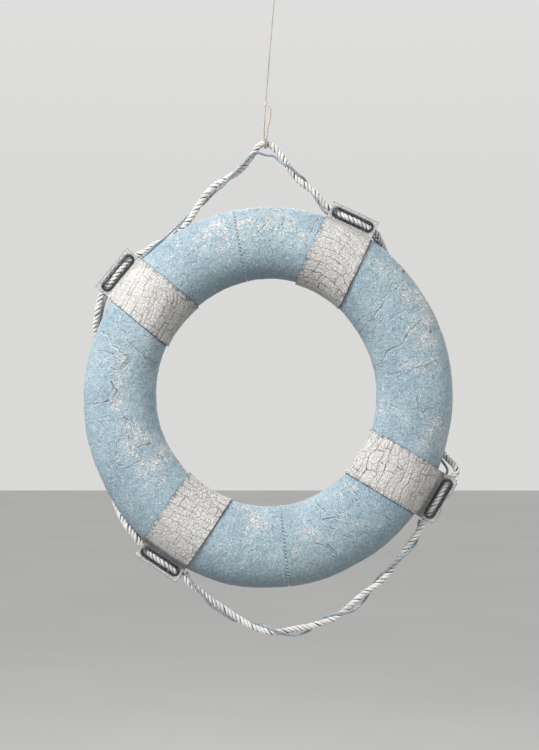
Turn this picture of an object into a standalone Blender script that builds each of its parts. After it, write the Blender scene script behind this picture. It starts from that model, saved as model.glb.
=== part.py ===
"""Ring lifebuoy, hanging by its grab line from a length of twine.

Eight cork blocks, pegged together, make the ring. A painted canvas cover is sewn over it in eight
panels. Four canvas bands wrap the ring, and the two ends of each band stand out past its rim as a
flat tab with oblong eyelets. A laid grab line, with a thin lashing cord wound along it, runs through
the four tabs.

Metres, +Z up, the front towards -Y. The origin is the point inside the twine's top loop that bears
on whatever the lifebuoy hangs from. Routes and the ring's own shapes are worked out about the
middle of the ring, at RING_CENTRE.
"""

import math

import bmesh
import bpy
from mathutils import Vector

RING_CENTRE = Vector((-0.0096, 0.0, -0.850))

# The ring's oval tube
RING_RADIUS = 0.2965
TUBE_RADIAL = 0.0775
TUBE_DEPTH = 0.055
FIT_GAP = 0.0003

# Cork blocks and the pegs across their joints
CORK_INSET = 0.005
CORK_BLOCKS = 8
CORK_FIRST_JOINT = 40.0
PEG_RADIUS = 0.006
PEG_LENGTH = 0.05
PEG_CHAMFER = 0.0012
PEG_HOLE_RADIUS = 0.0066
PEG_HOLE_DEPTH = 0.0258

# Canvas cover: seams, in degrees round the ring, anticlockwise from +X as seen from the front
CANVAS_THICKNESS = 0.0025
SEAMS = (17.0, 65.0, 101.0, 140.5, 188.3, 236.2, 276.0, 329.2)
LARGEST_STEP = 9.0

# Bands
BANDS = {"top_right": 65.0, "top_left": 140.5, "bottom_left": 236.2, "bottom_right": 329.2}
BAND_WIDTH = 0.100
BAND_GAP = 0.0013
BAND_THICKNESS = 0.0025
LEAVES_TUBE_AT = 38.0
TAB_FLAT_FROM = 0.3795
TAB_EDGE = 0.410
LEAF_INSIDE = 0.0072

# Eyelets
EYELET_AT = 0.392
HOLE_LENGTH = 0.080
HOLE_WIDTH = 0.013
BARREL_WALL = 0.0012
FLANGE_WIDTH = 0.0048
FLANGE_THICKNESS = 0.0016

# Ropes
ROPE_DIAMETER = 0.013
LASHING_DIAMETER = 0.0055
TWINE_DIAMETER = 0.003
ROPE_SPACING = 0.037
LASHING_SPACING = 0.020
HIDDEN_SPACING = 0.032
BEND_WEIGHT = 0.045
SMOOTH_STEPS = 12
CLEARING_ROUNDS = 16
WHIPPING_LENGTH = 0.014
WHIPPING_THICKNESS = 0.0013

# Twine
APEX = Vector((-0.008, 0.0, 0.509))
HITCH_RADIUS = ROPE_DIAMETER / 2 + 0.0012 + TWINE_DIAMETER / 2
HITCH_PITCH = 0.0036
HITCH_TURNS = 1.5
EYE_RADIUS = 0.0095
EYE_LEG = 0.0022
EYE_DEPTH = 0.034
EYE_KNOT_LENGTH = 0.014
EYE_KNOT_RADIUS = 0.0048
TAIL_KNOT_LENGTH = 0.009
TAIL_KNOT_RADIUS = 0.0042

# The grab line from the foot of the lower left tab, up the left side, over the top and down the right.
# Points are (x, y, z) from the middle of the ring.
UPPER_LINE = (
    (-0.1765, 0.000, -0.3536),
    (-0.2015, 0.000, -0.3369),
    (-0.2347, 0.000, -0.3147),
    (-0.2532, 0.000, -0.2974),
    (-0.2650, 0.000, -0.2820),
    (-0.2786, 0.002, -0.2654),
    (-0.2924, 0.010, -0.2470),
    (-0.3028, 0.019, -0.2286),
    (-0.3150, 0.036, -0.1960),
    (-0.3250, 0.060, -0.1300),
    (-0.3310, 0.067, -0.0500),
    (-0.3370, 0.064, 0.0300),
    (-0.3440, 0.047, 0.0950),
    (-0.3496, 0.023, 0.1376),
    (-0.3455, 0.008, 0.1620),
    (-0.3405, 0.000, 0.1880),
    (-0.3344, 0.000, 0.2083),
    (-0.3242, 0.000, 0.2206),
    (-0.3025, 0.000, 0.2494),
    (-0.2872, 0.000, 0.2679),
    (-0.2745, 0.000, 0.2795),
    (-0.2610, 0.000, 0.2865),
    (-0.2440, 0.001, 0.2955),
    (-0.2274, 0.008, 0.3080),
    (-0.1994, 0.019, 0.3215),
    (-0.1770, 0.017, 0.3400),
    (-0.1574, 0.010, 0.3620),
    (-0.1292, 0.003, 0.4042),
    (-0.1096, 0.000, 0.4238),
    (-0.0816, 0.000, 0.4406),
    (-0.0562, 0.000, 0.4574),
    (-0.0345, 0.000, 0.4850),
    (-0.0229, 0.000, 0.5024),
    (-0.0161, 0.000, 0.5073),
    (-0.0080, 0.000, 0.5090),
    (0.0001, 0.000, 0.5073),
    (0.0064, 0.000, 0.5029),
    (0.0174, 0.000, 0.4920),
    (0.0288, 0.000, 0.4770),
    (0.0428, 0.000, 0.4546),
    (0.0624, 0.000, 0.4322),
    (0.0848, 0.000, 0.4154),
    (0.1044, 0.000, 0.3956),
    (0.1172, 0.000, 0.3810),
    (0.1476, 0.000, 0.3638),
    (0.1838, 0.000, 0.3468),
    (0.2114, 0.000, 0.3332),
    (0.2220, 0.001, 0.3260),
    (0.2310, 0.010, 0.3140),
    (0.2370, 0.025, 0.3000),
    (0.2480, 0.042, 0.2720),
    (0.2660, 0.058, 0.2250),
    (0.2860, 0.066, 0.1500),
    (0.3030, 0.067, 0.0700),
    (0.3200, 0.064, -0.0050),
    (0.3370, 0.055, -0.0700),
    (0.3500, 0.037, -0.1080),
    (0.3600, 0.020, -0.1230),
    (0.3700, 0.007, -0.1340),
    (0.3752, 0.000, -0.1460),
    (0.3710, 0.000, -0.1535),
    (0.3630, 0.000, -0.1590),
    (0.3521, 0.000, -0.1749),
    (0.3367, 0.000, -0.2007),
    (0.3214, 0.000, -0.2265),
    (0.3111, 0.000, -0.2437),
)

# The hanging bight below the ring, from its left end to its right end.
LOWER_LINE = (
    (-0.1711, 0.0, -0.3572),
    (-0.1592, 0.0, -0.3700),
    (-0.1386, 0.0, -0.3870),
    (-0.1156, 0.0, -0.4054),
    (-0.0880, 0.0, -0.4240),
    (-0.0576, 0.0, -0.4442),
    (-0.0352, 0.0, -0.4570),
    (-0.0160, 0.0, -0.4648),
    (0.0046, 0.0, -0.4690),
    (0.0238, 0.0, -0.4680),
    (0.0444, 0.0, -0.4632),
    (0.0684, 0.0, -0.4592),
    (0.0924, 0.0, -0.4538),
    (0.1162, 0.0, -0.4458),
    (0.1338, 0.0, -0.4390),
    (0.1592, 0.0, -0.4180),
    (0.1720, 0.0, -0.4060),
    (0.1874, 0.0, -0.3924),
    (0.2166, 0.0, -0.3720),
    (0.2422, 0.0, -0.3452),
    (0.2676, 0.0, -0.3096),
    (0.2804, 0.0, -0.2916),
    (0.2960, 0.0, -0.2700),
    (0.3078, 0.0, -0.2492),
)

# The lashing cord beside the grab line, up the left side as far as the middle of the upper left tab.
LASHING_LEFT = (
    (-0.1711, 0.0000, -0.3454),
    (-0.2126, 0.0000, -0.3176),
    (-0.2400, 0.0010, -0.2975),
    (-0.2505, 0.0030, -0.2888),
    (-0.2602, 0.0060, -0.2790),
    (-0.2736, 0.0100, -0.2606),
    (-0.2880, 0.0200, -0.2440),
    (-0.2950, 0.0290, -0.2300),
    (-0.3200, 0.0450, -0.1900),
    (-0.3345, 0.0630, -0.1300),
    (-0.3405, 0.0690, -0.0500),
    (-0.3465, 0.0660, 0.0300),
    (-0.3500, 0.0560, 0.0900),
    (-0.3480, 0.0350, 0.1300),
    (-0.3430, 0.0200, 0.1500),
    (-0.3345, 0.0060, 0.1760),
    (-0.3300, 0.0000, 0.1970),
    (-0.3220, 0.0000, 0.2090),
    (-0.2951, 0.0000, 0.2429),
)
LASHING_TOP = (
    (-0.2947, 0.0000, 0.2433),
    (-0.2758, 0.0000, 0.2662),
    (-0.2640, 0.0000, 0.2735),
    (-0.2560, -0.0040, 0.2805),
    (-0.2410, -0.0080, 0.2905),
    (-0.2295, -0.0085, 0.3030),
    (-0.2120, 0.0020, 0.3178),
    (-0.1880, 0.0110, 0.3425),
    (-0.1700, 0.0110, 0.3580),
    (-0.1404, 0.0160, 0.3844),
    (-0.1264, 0.0080, 0.3956),
    (-0.0984, 0.0000, 0.4238),
    (-0.0760, -0.0100, 0.4434),
    (-0.0562, -0.0090, 0.4630),
    (-0.0400, -0.0100, 0.4820),
    (-0.0270, -0.0105, 0.4900),
    (-0.0160, -0.0060, 0.4880),
    (-0.0080, 0.0000, 0.4850),
    (0.0020, 0.0000, 0.4850),
    (0.0096, 0.0000, 0.4861),
    (0.0208, -0.0010, 0.4714),
    (0.0360, -0.0102, 0.4650),
    (0.0596, -0.0080, 0.4434),
    (0.0690, 0.0020, 0.4390),
    (0.0790, 0.0102, 0.4220),
    (0.0876, 0.0080, 0.4098),
    (0.1010, 0.0030, 0.3860),
    (0.1144, 0.0000, 0.3690),
    (0.1613, 0.0000, 0.3465),
)
LASHING_RIGHT = (
    (0.1617, 0.0000, 0.3463),
    (0.2068, 0.0000, 0.3253),
    (0.2160, 0.0010, 0.3185),
    (0.2235, 0.0110, 0.3080),
    (0.2330, 0.0340, 0.3010),
    (0.2480, 0.0560, 0.2720),
    (0.2640, 0.0710, 0.2250),
    (0.2830, 0.0785, 0.1500),
    (0.3000, 0.0795, 0.0700),
    (0.3160, 0.0765, -0.0050),
    (0.3320, 0.0660, -0.0740),
    (0.3450, 0.0430, -0.1180),
    (0.3520, 0.0180, -0.1330),
    (0.3580, 0.0020, -0.1450),
    (0.3539, 0.0000, -0.1527),
    (0.3283, 0.0000, -0.1957),
    (0.3027, 0.0000, -0.2387),
)
LASHING_LOWER = (
    (-0.1657, 0.0000, -0.3490),
    (-0.1570, -0.0090, -0.3688),
    (-0.1386, -0.0102, -0.3870),
    (-0.1248, -0.0060, -0.4032),
    (-0.1064, 0.0000, -0.4225),
    (-0.0830, 0.0000, -0.4378),
    (-0.0672, 0.0050, -0.4458),
    (-0.0510, 0.0102, -0.4480),
    (-0.0304, 0.0060, -0.4506),
    (-0.0114, 0.0000, -0.4554),
    (0.0094, -0.0070, -0.4632),
    (0.0238, -0.0102, -0.4696),
    (0.0382, -0.0050, -0.4728),
    (0.0524, 0.0000, -0.4744),
    (0.0684, 0.0030, -0.4712),
    (0.0812, 0.0080, -0.4656),
    (0.0900, 0.0102, -0.4560),
    (0.0988, 0.0085, -0.4458),
    (0.1162, 0.0020, -0.4362),
    (0.1360, -0.0050, -0.4310),
    (0.1568, -0.0102, -0.4282),
    (0.1694, -0.0060, -0.4244),
    (0.1822, 0.0000, -0.4140),
    (0.1962, 0.0070, -0.3976),
    (0.2030, 0.0102, -0.3840),
    (0.2102, 0.0080, -0.3682),
    (0.2230, 0.0020, -0.3554),
    (0.2358, -0.0070, -0.3414),
    (0.2460, -0.0090, -0.3312),
    (0.2614, -0.0102, -0.3198),
    (0.2778, -0.0060, -0.3082),
    (0.2900, 0.0010, -0.2954),
    (0.2970, 0.0080, -0.2840),
    (0.2990, 0.0100, -0.2700),
    (0.3000, 0.0060, -0.2560),
    (0.2994, 0.0000, -0.2442),
)

# The twine's standing part, from under the knot down to the back of the hitch.
STANDING_PART = (
    (0.0096, 0.0000, 0.8005),
    (0.0040, 0.0004, 0.7340),
    (-0.0020, 0.0010, 0.6620),
    (-0.0080, 0.0030, 0.5900),
    (-0.0103, 0.0062, 0.5450),
    (-0.0108, 0.0085, 0.5220),
)
# Its short end, from the front of the hitch up to the tail knot.
SHORT_END = (
    (-0.0052, -0.0086, 0.5200),
    (-0.0025, -0.0070, 0.5400),
    (0.0020, -0.0052, 0.5620),
    (0.0024, -0.0040, 0.5760),
    (-0.0020, -0.0022, 0.5850),
)
TAIL_KNOT_AT = Vector((-0.0081, 0.0031, 0.5890))
SPLICE_WHIPPINGS = {"splice_whipping_upper": 0.730, "splice_whipping_lower": 0.778}

COLOURS = {
    "cork": ((0.42, 0.25, 0.13), 0.9, 0.0),
    "peg_wood": ((0.50, 0.34, 0.18), 0.7, 0.0),
    "blue_canvas": ((0.38, 0.56, 0.68), 0.6, 0.0),
    "white_canvas": ((0.66, 0.63, 0.59), 0.7, 0.0),
    "gunmetal": ((0.05, 0.06, 0.07), 0.35, 0.9),
    "white_rope": ((0.80, 0.78, 0.73), 0.85, 0.0),
    "blue_cord": ((0.25, 0.36, 0.44), 0.8, 0.0),
    "twine": ((0.72, 0.60, 0.48), 0.9, 0.0),
}


def remove_startup_objects():
    for obj in list(bpy.data.objects):
        bpy.data.objects.remove(obj, do_unlink=True)


def make_materials():
    made = {}
    for name, (colour, roughness, metallic) in COLOURS.items():
        material = bpy.data.materials.new(name)
        material.use_nodes = True
        shader = material.node_tree.nodes["Principled BSDF"]
        shader.inputs["Base Color"].default_value = (*colour, 1.0)
        shader.inputs["Roughness"].default_value = roughness
        shader.inputs["Metallic"].default_value = metallic
        made[name] = material
    return made


def add_object(name, data, material=None):
    obj = bpy.data.objects.new(name, data)
    if material:
        data.materials.append(material)
    bpy.context.scene.collection.objects.link(obj)
    return obj


def loft(name, loops, material=None, closed=False, sharp_angle=40.0):
    """A solid skinned over loops of equally many points: round to the first loop, or capped."""
    shape = bmesh.new()
    rings = [[shape.verts.new(point) for point in loop] for loop in loops]
    following = rings[1:] + rings[:1] if closed else rings[1:]
    for ring, after in zip(rings, following):
        for i in range(len(ring)):
            j = (i + 1) % len(ring)
            shape.faces.new((ring[i], ring[j], after[j], after[i]))
    if not closed:
        shape.faces.new(rings[0])
        shape.faces.new(rings[-1])
    bmesh.ops.recalc_face_normals(shape, faces=shape.faces)
    mesh = bpy.data.meshes.new(name)
    shape.to_mesh(mesh)
    shape.free()
    mesh.shade_smooth()
    mesh.set_sharp_from_angle(angle=math.radians(sharp_angle))
    return add_object(name, mesh, material)


def radial(degrees):
    """The direction from the middle of the ring towards that angle."""
    return Vector((math.cos(math.radians(degrees)), 0.0, math.sin(math.radians(degrees))))


def along(degrees):
    """The direction anticlockwise round the ring at that angle."""
    return Vector((-math.sin(math.radians(degrees)), 0.0, math.cos(math.radians(degrees))))


def tube_section(angle, inset, sides):
    """One loop of the ring's oval tube, that far inside its surface."""
    loop = []
    for i in range(sides):
        turn = 2 * math.pi * i / sides
        reach = RING_RADIUS + (TUBE_RADIAL - inset) * math.cos(turn)
        depth = (TUBE_DEPTH - inset) * math.sin(turn)
        loop.append(RING_CENTRE + radial(angle) * reach + Vector((0.0, depth, 0.0)))
    return loop


def disc(centre, side, up, radius, sides):
    """A circle of points across the plane of side and up."""
    turns = [2 * math.pi * i / sides for i in range(sides)]
    return [centre + (side * math.cos(t) + up * math.sin(t)) * radius for t in turns]


def angles_between(first, last):
    """Angles from just past first to just short of last, no further apart than LARGEST_STEP."""
    margin = math.degrees(FIT_GAP / (RING_RADIUS - TUBE_RADIAL))
    steps = math.ceil((last - first) / LARGEST_STEP)
    span = last - first - 2 * margin
    return [first + margin + span * i / steps for i in range(steps + 1)]


def make_cork_and_pegs(materials):
    sides = 12
    back = Vector((0.0, 1.0, 0.0))
    block_angle = 360.0 / CORK_BLOCKS
    for block in range(CORK_BLOCKS):
        joint = CORK_FIRST_JOINT + block * block_angle
        margin = math.degrees(FIT_GAP / (RING_RADIUS - TUBE_RADIAL))
        start = joint + margin
        end = joint + block_angle - margin
        loops = []
        for angle, inwards in ((start, 1.0), (end, -1.0)):
            mouth = RING_CENTRE + radial(angle) * RING_RADIUS
            bottom = mouth + along(angle) * PEG_HOLE_DEPTH * inwards
            hole = [disc(c, radial(angle), back, PEG_HOLE_RADIUS, sides) for c in (bottom, mouth)]
            loops.append(hole if inwards > 0 else hole[::-1])
        steps = [start + (end - start) * i / 4 for i in range(5)]
        skin = [tube_section(angle, CORK_INSET, sides) for angle in steps]
        loft(f"cork_block_{block + 1}", loops[0] + skin + loops[1], materials["cork"])

        centre = RING_CENTRE + radial(joint) * RING_RADIUS
        half = PEG_LENGTH / 2
        peg = [
            disc(centre + along(joint) * reach, radial(joint), back, radius, sides)
            for reach, radius in (
                (-half, PEG_RADIUS - PEG_CHAMFER),
                (-half + PEG_CHAMFER, PEG_RADIUS),
                (half - PEG_CHAMFER, PEG_RADIUS),
                (half, PEG_RADIUS - PEG_CHAMFER),
            )
        ]
        loft(f"joint_peg_{block + 1}", peg, materials["peg_wood"])


def make_cover(materials):
    sides = 24
    ends = SEAMS[1:] + (SEAMS[0] + 360.0,)
    for number, (first, last) in enumerate(zip(SEAMS, ends), start=1):
        angles = angles_between(first, last)
        outside = [tube_section(angle, 0.0, sides) for angle in angles]
        inside = [tube_section(angle, CANVAS_THICKNESS, sides) for angle in reversed(angles)]
        loft(f"canvas_panel_{number}", outside + inside, materials["blue_canvas"], closed=True)


def tab_edge(name, across):
    """How far the tab reaches from the middle of the ring, at that distance across the band."""
    if name != "bottom_right":
        return TAB_EDGE
    waist = 0.0050 * math.cos(math.pi * across / 0.050) ** 2 if abs(across) < 0.025 else 0.0
    corner = 0.0040 if abs(across) > 0.045 else 0.0
    return TAB_EDGE - waist - corner


def band_profile(across, edge, outside):
    """(reach, depth) points of one surface of a band, from the front leaf's edge round to the back's."""
    offset = BAND_GAP + (BAND_THICKNESS if outside else 0.0)
    leaf = LEAF_INSIDE + (BAND_THICKNESS if outside else 0.0)
    reach = edge if outside else edge - BAND_THICKNESS

    def on_tube(degrees):
        turn = math.radians(degrees)
        radius = RING_RADIUS + (TUBE_RADIAL + offset) * math.cos(turn)
        return Vector((math.sqrt(radius**2 - across**2), (TUBE_DEPTH + offset) * math.sin(turn)))

    leaving = on_tube(-LEAVES_TUBE_AT)
    heading = (leaving - on_tube(-LEAVES_TUBE_AT - 2.0)).normalized()
    flat = Vector((TAB_FLAT_FROM, -leaf))
    controls = (flat, flat - Vector((0.006, 0.0)), leaving + heading * 0.012, leaving)
    front = [Vector((reach, -leaf))]
    for i in range(5):
        t = i / 5
        weights = ((1 - t) ** 3, 3 * t * (1 - t) ** 2, 3 * t * t * (1 - t), t**3)
        front.append(sum((c * w for c, w in zip(controls, weights)), Vector((0.0, 0.0))))
    round_tube = [-LEAVES_TUBE_AT, *range(-45, -330, -15), LEAVES_TUBE_AT - 360.0]
    middle = [on_tube(degrees) for degrees in round_tube]
    back = [Vector((p.x, -p.y)) for p in reversed(front)]
    return front + middle + back


def oblong(name, angle, length, width, depths, material=None):
    """A bar with round ends lying along a tab, between two depths."""
    loops = [eyelet_outline(angle, length, width, 0.0, depth) for depth in depths]
    return loft(name, loops, material)


def eyelet_outline(angle, length, width, grow, depth):
    """Points round an oblong with round ends, grown outwards, at that depth in the tab."""
    centre = RING_CENTRE + radial(angle) * EYELET_AT + Vector((0.0, depth, 0.0))
    half = (length - width) / 2
    points = []
    for end, first in ((half, 0.0), (-half, 180.0)):
        for i in range(6):
            turn = math.radians(first + 36.0 * i)
            out = radial(angle) * math.cos(turn) + along(angle) * math.sin(turn)
            points.append(centre + along(angle) * end + out * (width / 2 + grow))
    return points


def make_bands(materials):
    back = Vector((0.0, 1.0, 0.0))
    slot_width = HOLE_WIDTH + 2 * (BARREL_WALL + FIT_GAP)
    slot_length = HOLE_LENGTH + 2 * (BARREL_WALL + FIT_GAP)
    for name, angle in BANDS.items():
        stations = 11 if name == "bottom_right" else 5
        places = [BAND_WIDTH * (i / (stations - 1) - 0.5) for i in range(stations)]
        surfaces = {True: [], False: []}
        for outside, loops in surfaces.items():
            for across in places:
                profile = band_profile(across, tab_edge(name, across), outside)
                start = RING_CENTRE + along(angle) * across
                loops.append([start + radial(angle) * p.x + back * p.y for p in profile])
        skin = surfaces[True] + surfaces[False][::-1]
        band = loft(f"band_{name}", skin, materials["white_canvas"], closed=True)
        cutter = oblong(f"slot_cutter_{name}", angle, slot_length, slot_width, (-0.02, 0.02))
        cutter.hide_render = True
        cutter.display_type = "WIRE"
        slot = band.modifiers.new("eyelet_slot", "BOOLEAN")
        slot.operation = "DIFFERENCE"
        slot.object = cutter


def make_eyelets(materials):
    leaf = LEAF_INSIDE + BAND_THICKNESS
    under = leaf + FIT_GAP
    top = under + FLANGE_THICKNESS
    profile = (
        (0.0, LEAF_INSIDE + 0.0004),
        (BARREL_WALL, LEAF_INSIDE + 0.0004),
        (BARREL_WALL, under),
        (FLANGE_WIDTH, under),
        (FLANGE_WIDTH - 0.0008, top),
        (0.0010, top),
        (0.0, top - 0.0010),
    )
    for face, sign in (("front", -1.0), ("back", 1.0)):
        for name, angle in BANDS.items():
            rows = [
                eyelet_outline(angle, HOLE_LENGTH, HOLE_WIDTH, grow, sign * depth)
                for grow, depth in profile
            ]
            loft(f"eyelet_{face}_{name}", rows, materials["gunmetal"], closed=True)


def smooth_route(points):
    """A Catmull-Rom curve through the points, as a close polyline."""
    route = [Vector(p) for p in points]
    ends = [2 * route[0] - route[1], *route, 2 * route[-1] - route[-2]]
    line = []
    for a, b, c, d in zip(ends, ends[1:], ends[2:], ends[3:]):
        for i in range(SMOOTH_STEPS):
            t = i / SMOOTH_STEPS
            line.append(
                0.5
                * (2 * b + (c - a) * t + (2 * a - 5 * b + 4 * c - d) * t**2
                   + (3 * b - a - 3 * c + d) * t**3)
            )
    return [*line, route[-1]]


def spaced(line, spacing):
    """The line again, in steps of about that length, and in shorter ones round its bends."""
    marks = [0.0]
    for i, (a, b) in enumerate(zip(line, line[1:])):
        turn = (b - a).angle(a - line[i - 1], 0.0) if i else 0.0
        marks.append(marks[-1] + (b - a).length + turn * BEND_WEIGHT)
    count = max(2, round(marks[-1] / spacing))
    points = []
    at = 0
    for step in range(count + 1):
        goal = marks[-1] * step / count
        while at < len(line) - 2 and marks[at + 1] < goal:
            at += 1
        part = (goal - marks[at]) / max(marks[at + 1] - marks[at], 1e-9)
        points.append(line[at].lerp(line[at + 1], min(max(part, 0.0), 1.0)))
    return points


def nearest(point, line):
    """The closest place to the point on the line."""
    best = line[0]
    for a, b in zip(line, line[1:]):
        step = b - a
        part = (point - a).dot(step) / max(step.length_squared, 1e-12)
        place = a.lerp(b, min(max(part, 0.0), 1.0))
        if (place - point).length < (best - point).length:
            best = place
    return best


def beside(line, rope, distance):
    """The line pushed out until it stays at least that distance from the rope's middle."""
    line = [point.copy() for point in line]
    for _ in range(CLEARING_ROUNDS):
        for a, b in zip(line, line[1:]):
            gaps = []
            for part in (0.0, 0.25, 0.5, 0.75, 1.0):
                place = a.lerp(b, part)
                away = place - nearest(place, rope)
                gaps.append((away.length, part, away))
            length, part, away = min(gaps, key=lambda gap: gap[0])
            if length < distance:
                push = away.normalized() * (distance - length) / ((1 - part) ** 2 + part**2)
                a += push * (1 - part)
                b += push * part
    return line


def cord(name, line, diameter, material):
    """A round cord along points given from the middle of the ring."""
    curve = bpy.data.curves.new(name, "CURVE")
    curve.dimensions = "3D"
    curve.bevel_depth = diameter / 2
    curve.bevel_resolution = 2
    curve.use_fill_caps = True
    spline = curve.splines.new("POLY")
    spline.points.add(len(line) - 1)
    for point, place in zip(spline.points, line):
        point.co = (*(RING_CENTRE + place), 1.0)
    return add_object(name, curve, material)


def make_grab_line(materials):
    line = smooth_route(UPPER_LINE)
    top = line.index(APEX)
    upper = spaced(line[: top + 1], ROPE_SPACING) + spaced(line[top:], ROPE_SPACING)[1:]
    lower = spaced(smooth_route(LOWER_LINE), ROPE_SPACING)
    cord("grab_line_upper", upper, ROPE_DIAMETER, materials["white_rope"])
    cord("grab_line_lower", lower, ROPE_DIAMETER, materials["white_rope"])
    for name, part in SPLICE_WHIPPINGS.items():
        at = round(part * (len(upper) - 1))
        middle = (upper[at] + upper[at + 1]) / 2
        make_collar(name, middle, upper[at + 1] - upper[at], materials["twine"])
    return upper, lower


def make_collar(name, centre, heading, material):
    """A whipping of twine round the rope, with its turns as ribs."""
    axis = heading.normalized()
    side = axis.orthogonal().normalized()
    up = axis.cross(side)
    inner = ROPE_DIAMETER / 2 + 0.0007
    outer = inner + WHIPPING_THICKNESS
    half = WHIPPING_LENGTH / 2
    rows = ((-half, inner), (-half, outer), (0.0, outer + 0.0004), (half, outer), (half, inner))
    loops = [disc(RING_CENTRE + centre + axis * x, side, up, r, 10) for x, r in rows]
    loft(name, loops, material, closed=True)


def make_lashing(upper, lower, materials):
    distance = (ROPE_DIAMETER + LASHING_DIAMETER) / 2 + 0.0007
    for name, route, rope, spacing in (
        ("lashing_cord_left", LASHING_LEFT, upper, HIDDEN_SPACING),
        ("lashing_cord_top", LASHING_TOP, upper, LASHING_SPACING),
        ("lashing_cord_right", LASHING_RIGHT, upper, HIDDEN_SPACING),
        ("lashing_cord_lower", LASHING_LOWER, lower, LASHING_SPACING),
    ):
        line = beside(spaced(smooth_route(route), spacing), rope, distance)
        cord(name, line, LASHING_DIAMETER, materials["blue_cord"])


def hitch_turns():
    """The twine's turns round the grab line, from the back of it, under and up in front."""
    steps = round(HITCH_TURNS * 14)
    turns = []
    for i in range(steps + 1):
        turn = 2 * math.pi * HITCH_TURNS * i / steps
        side = HITCH_PITCH * HITCH_TURNS * (i / steps - 0.5)
        y = HITCH_RADIUS * math.cos(turn)
        z = -HITCH_RADIUS * math.sin(turn)
        turns.append(APEX + Vector((side, y, z)))
    return turns


def knot(name, centre, heading, radius, length, bore, material):
    """A barrel knot of two turns; with a bore, the cord it grips runs through it."""
    axis = heading.normalized()
    side = axis.orthogonal().normalized()
    up = axis.cross(side)
    rows = [(-0.5, 0.62), (-0.30, 1.0), (-0.02, 0.80), (0.02, 0.80), (0.30, 1.0), (0.5, 0.62)]
    if bore:
        rows = [(-0.5, bore / radius), *rows, (0.5, bore / radius)]
    loops = [disc(centre + axis * length * x, side, up, radius * r, 10) for x, r in rows]
    loft(name, loops, material, closed=bool(bore), sharp_angle=60.0)


def make_twine(materials):
    twine = materials["twine"]
    standing = spaced(smooth_route([*STANDING_PART, hitch_turns()[0]]), 0.03)
    short_end = spaced(smooth_route([hitch_turns()[-1], *SHORT_END]), 0.009)
    line = standing[:-1] + hitch_turns() + short_end[1:]
    cord("hanging_twine", line, TWINE_DIAMETER, twine)

    strand = STANDING_PART[2], STANDING_PART[3]
    lean = Vector(strand[0]) - Vector(strand[1])
    bore = TWINE_DIAMETER / 2 + 2 * FIT_GAP
    place = RING_CENTRE + TAIL_KNOT_AT
    knot("tail_knot", place, lean, TAIL_KNOT_RADIUS, TAIL_KNOT_LENGTH, bore, twine)

    # The eye starts and ends on top of its knot, and its top passes just over the origin.
    centre = Vector((0.0, 0.0, TWINE_DIAMETER / 2 - EYE_RADIUS)) - RING_CENTRE
    foot = Vector((EYE_LEG, 0.0, FIT_GAP - EYE_DEPTH)) - RING_CENTRE
    waist = Vector((EYE_RADIUS * 0.62, 0.0, -0.021)) - RING_CENTRE
    bow = [
        centre + Vector((math.cos(turn), 0.0, math.sin(turn))) * EYE_RADIUS
        for turn in (math.radians(degrees) for degrees in range(-15, 196, 21))
    ]
    mirror = Vector((-2 * RING_CENTRE.x, 0.0, 0.0))
    left = [Vector((-p.x, p.y, p.z)) + mirror for p in (waist, foot)]
    cord("hanging_eye", spaced(smooth_route([foot, waist, *bow, *left]), 0.0045), TWINE_DIAMETER, twine)
    top = Vector((0.0, 0.0, -EYE_DEPTH - FIT_GAP - EYE_KNOT_LENGTH / 2))
    knot("eye_knot", top, Vector((0.0, 0.0, 1.0)), EYE_KNOT_RADIUS, EYE_KNOT_LENGTH, 0.0, twine)


def main():
    remove_startup_objects()
    materials = make_materials()
    make_cork_and_pegs(materials)
    make_cover(materials)
    make_bands(materials)
    make_eyelets(materials)
    upper, lower = make_grab_line(materials)
    make_lashing(upper, lower, materials)
    make_twine(materials)


main()
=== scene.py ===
"""The looks of the ring lifebuoy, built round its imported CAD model.

Shapes on the ring are worked out about its middle: x to the right, z up, and the front towards -y.
"turn" is the angle round the ring, anticlockwise from +x as seen from the front, and "roll" is the
angle round its tube, from 0 at the rim, through -90 at the front, to 180 at the hole.
"""

import itertools
import math

import bpy
import numpy as np
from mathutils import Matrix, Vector


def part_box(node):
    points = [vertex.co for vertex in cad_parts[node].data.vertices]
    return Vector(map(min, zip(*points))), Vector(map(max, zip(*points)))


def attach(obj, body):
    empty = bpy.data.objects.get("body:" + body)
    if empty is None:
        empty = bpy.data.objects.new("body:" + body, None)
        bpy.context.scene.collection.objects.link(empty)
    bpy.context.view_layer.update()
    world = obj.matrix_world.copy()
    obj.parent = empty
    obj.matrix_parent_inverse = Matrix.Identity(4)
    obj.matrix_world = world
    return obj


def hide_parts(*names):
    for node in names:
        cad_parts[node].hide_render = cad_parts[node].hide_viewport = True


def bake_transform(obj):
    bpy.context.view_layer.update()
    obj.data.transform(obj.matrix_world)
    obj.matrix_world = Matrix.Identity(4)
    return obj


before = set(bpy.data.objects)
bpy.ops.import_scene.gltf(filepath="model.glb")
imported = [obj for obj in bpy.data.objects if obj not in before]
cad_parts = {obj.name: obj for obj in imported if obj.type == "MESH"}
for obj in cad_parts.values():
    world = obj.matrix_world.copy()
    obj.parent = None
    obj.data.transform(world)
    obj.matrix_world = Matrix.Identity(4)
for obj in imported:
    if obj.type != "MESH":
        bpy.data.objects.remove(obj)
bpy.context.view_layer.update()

# The ring, as in the CAD model
RING_CENTRE = np.array((-0.0096, 0.0, -0.850))
RING_RADIUS = 0.2965
TUBE_RADIAL = 0.0775
TUBE_DEPTH = 0.055
CANVAS_THICKNESS = 0.0025
BANDS = {"top_right": 65.0, "top_left": 140.5, "bottom_left": 236.2, "bottom_right": 329.2}
BAND_WIDTH = 0.100
BAND_GAP = 0.0013
BAND_THICKNESS = 0.0025
LEAVES_TUBE_AT = 38.0
TAB_FLAT_FROM = 0.3795
TAB_EDGE = 0.410
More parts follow.
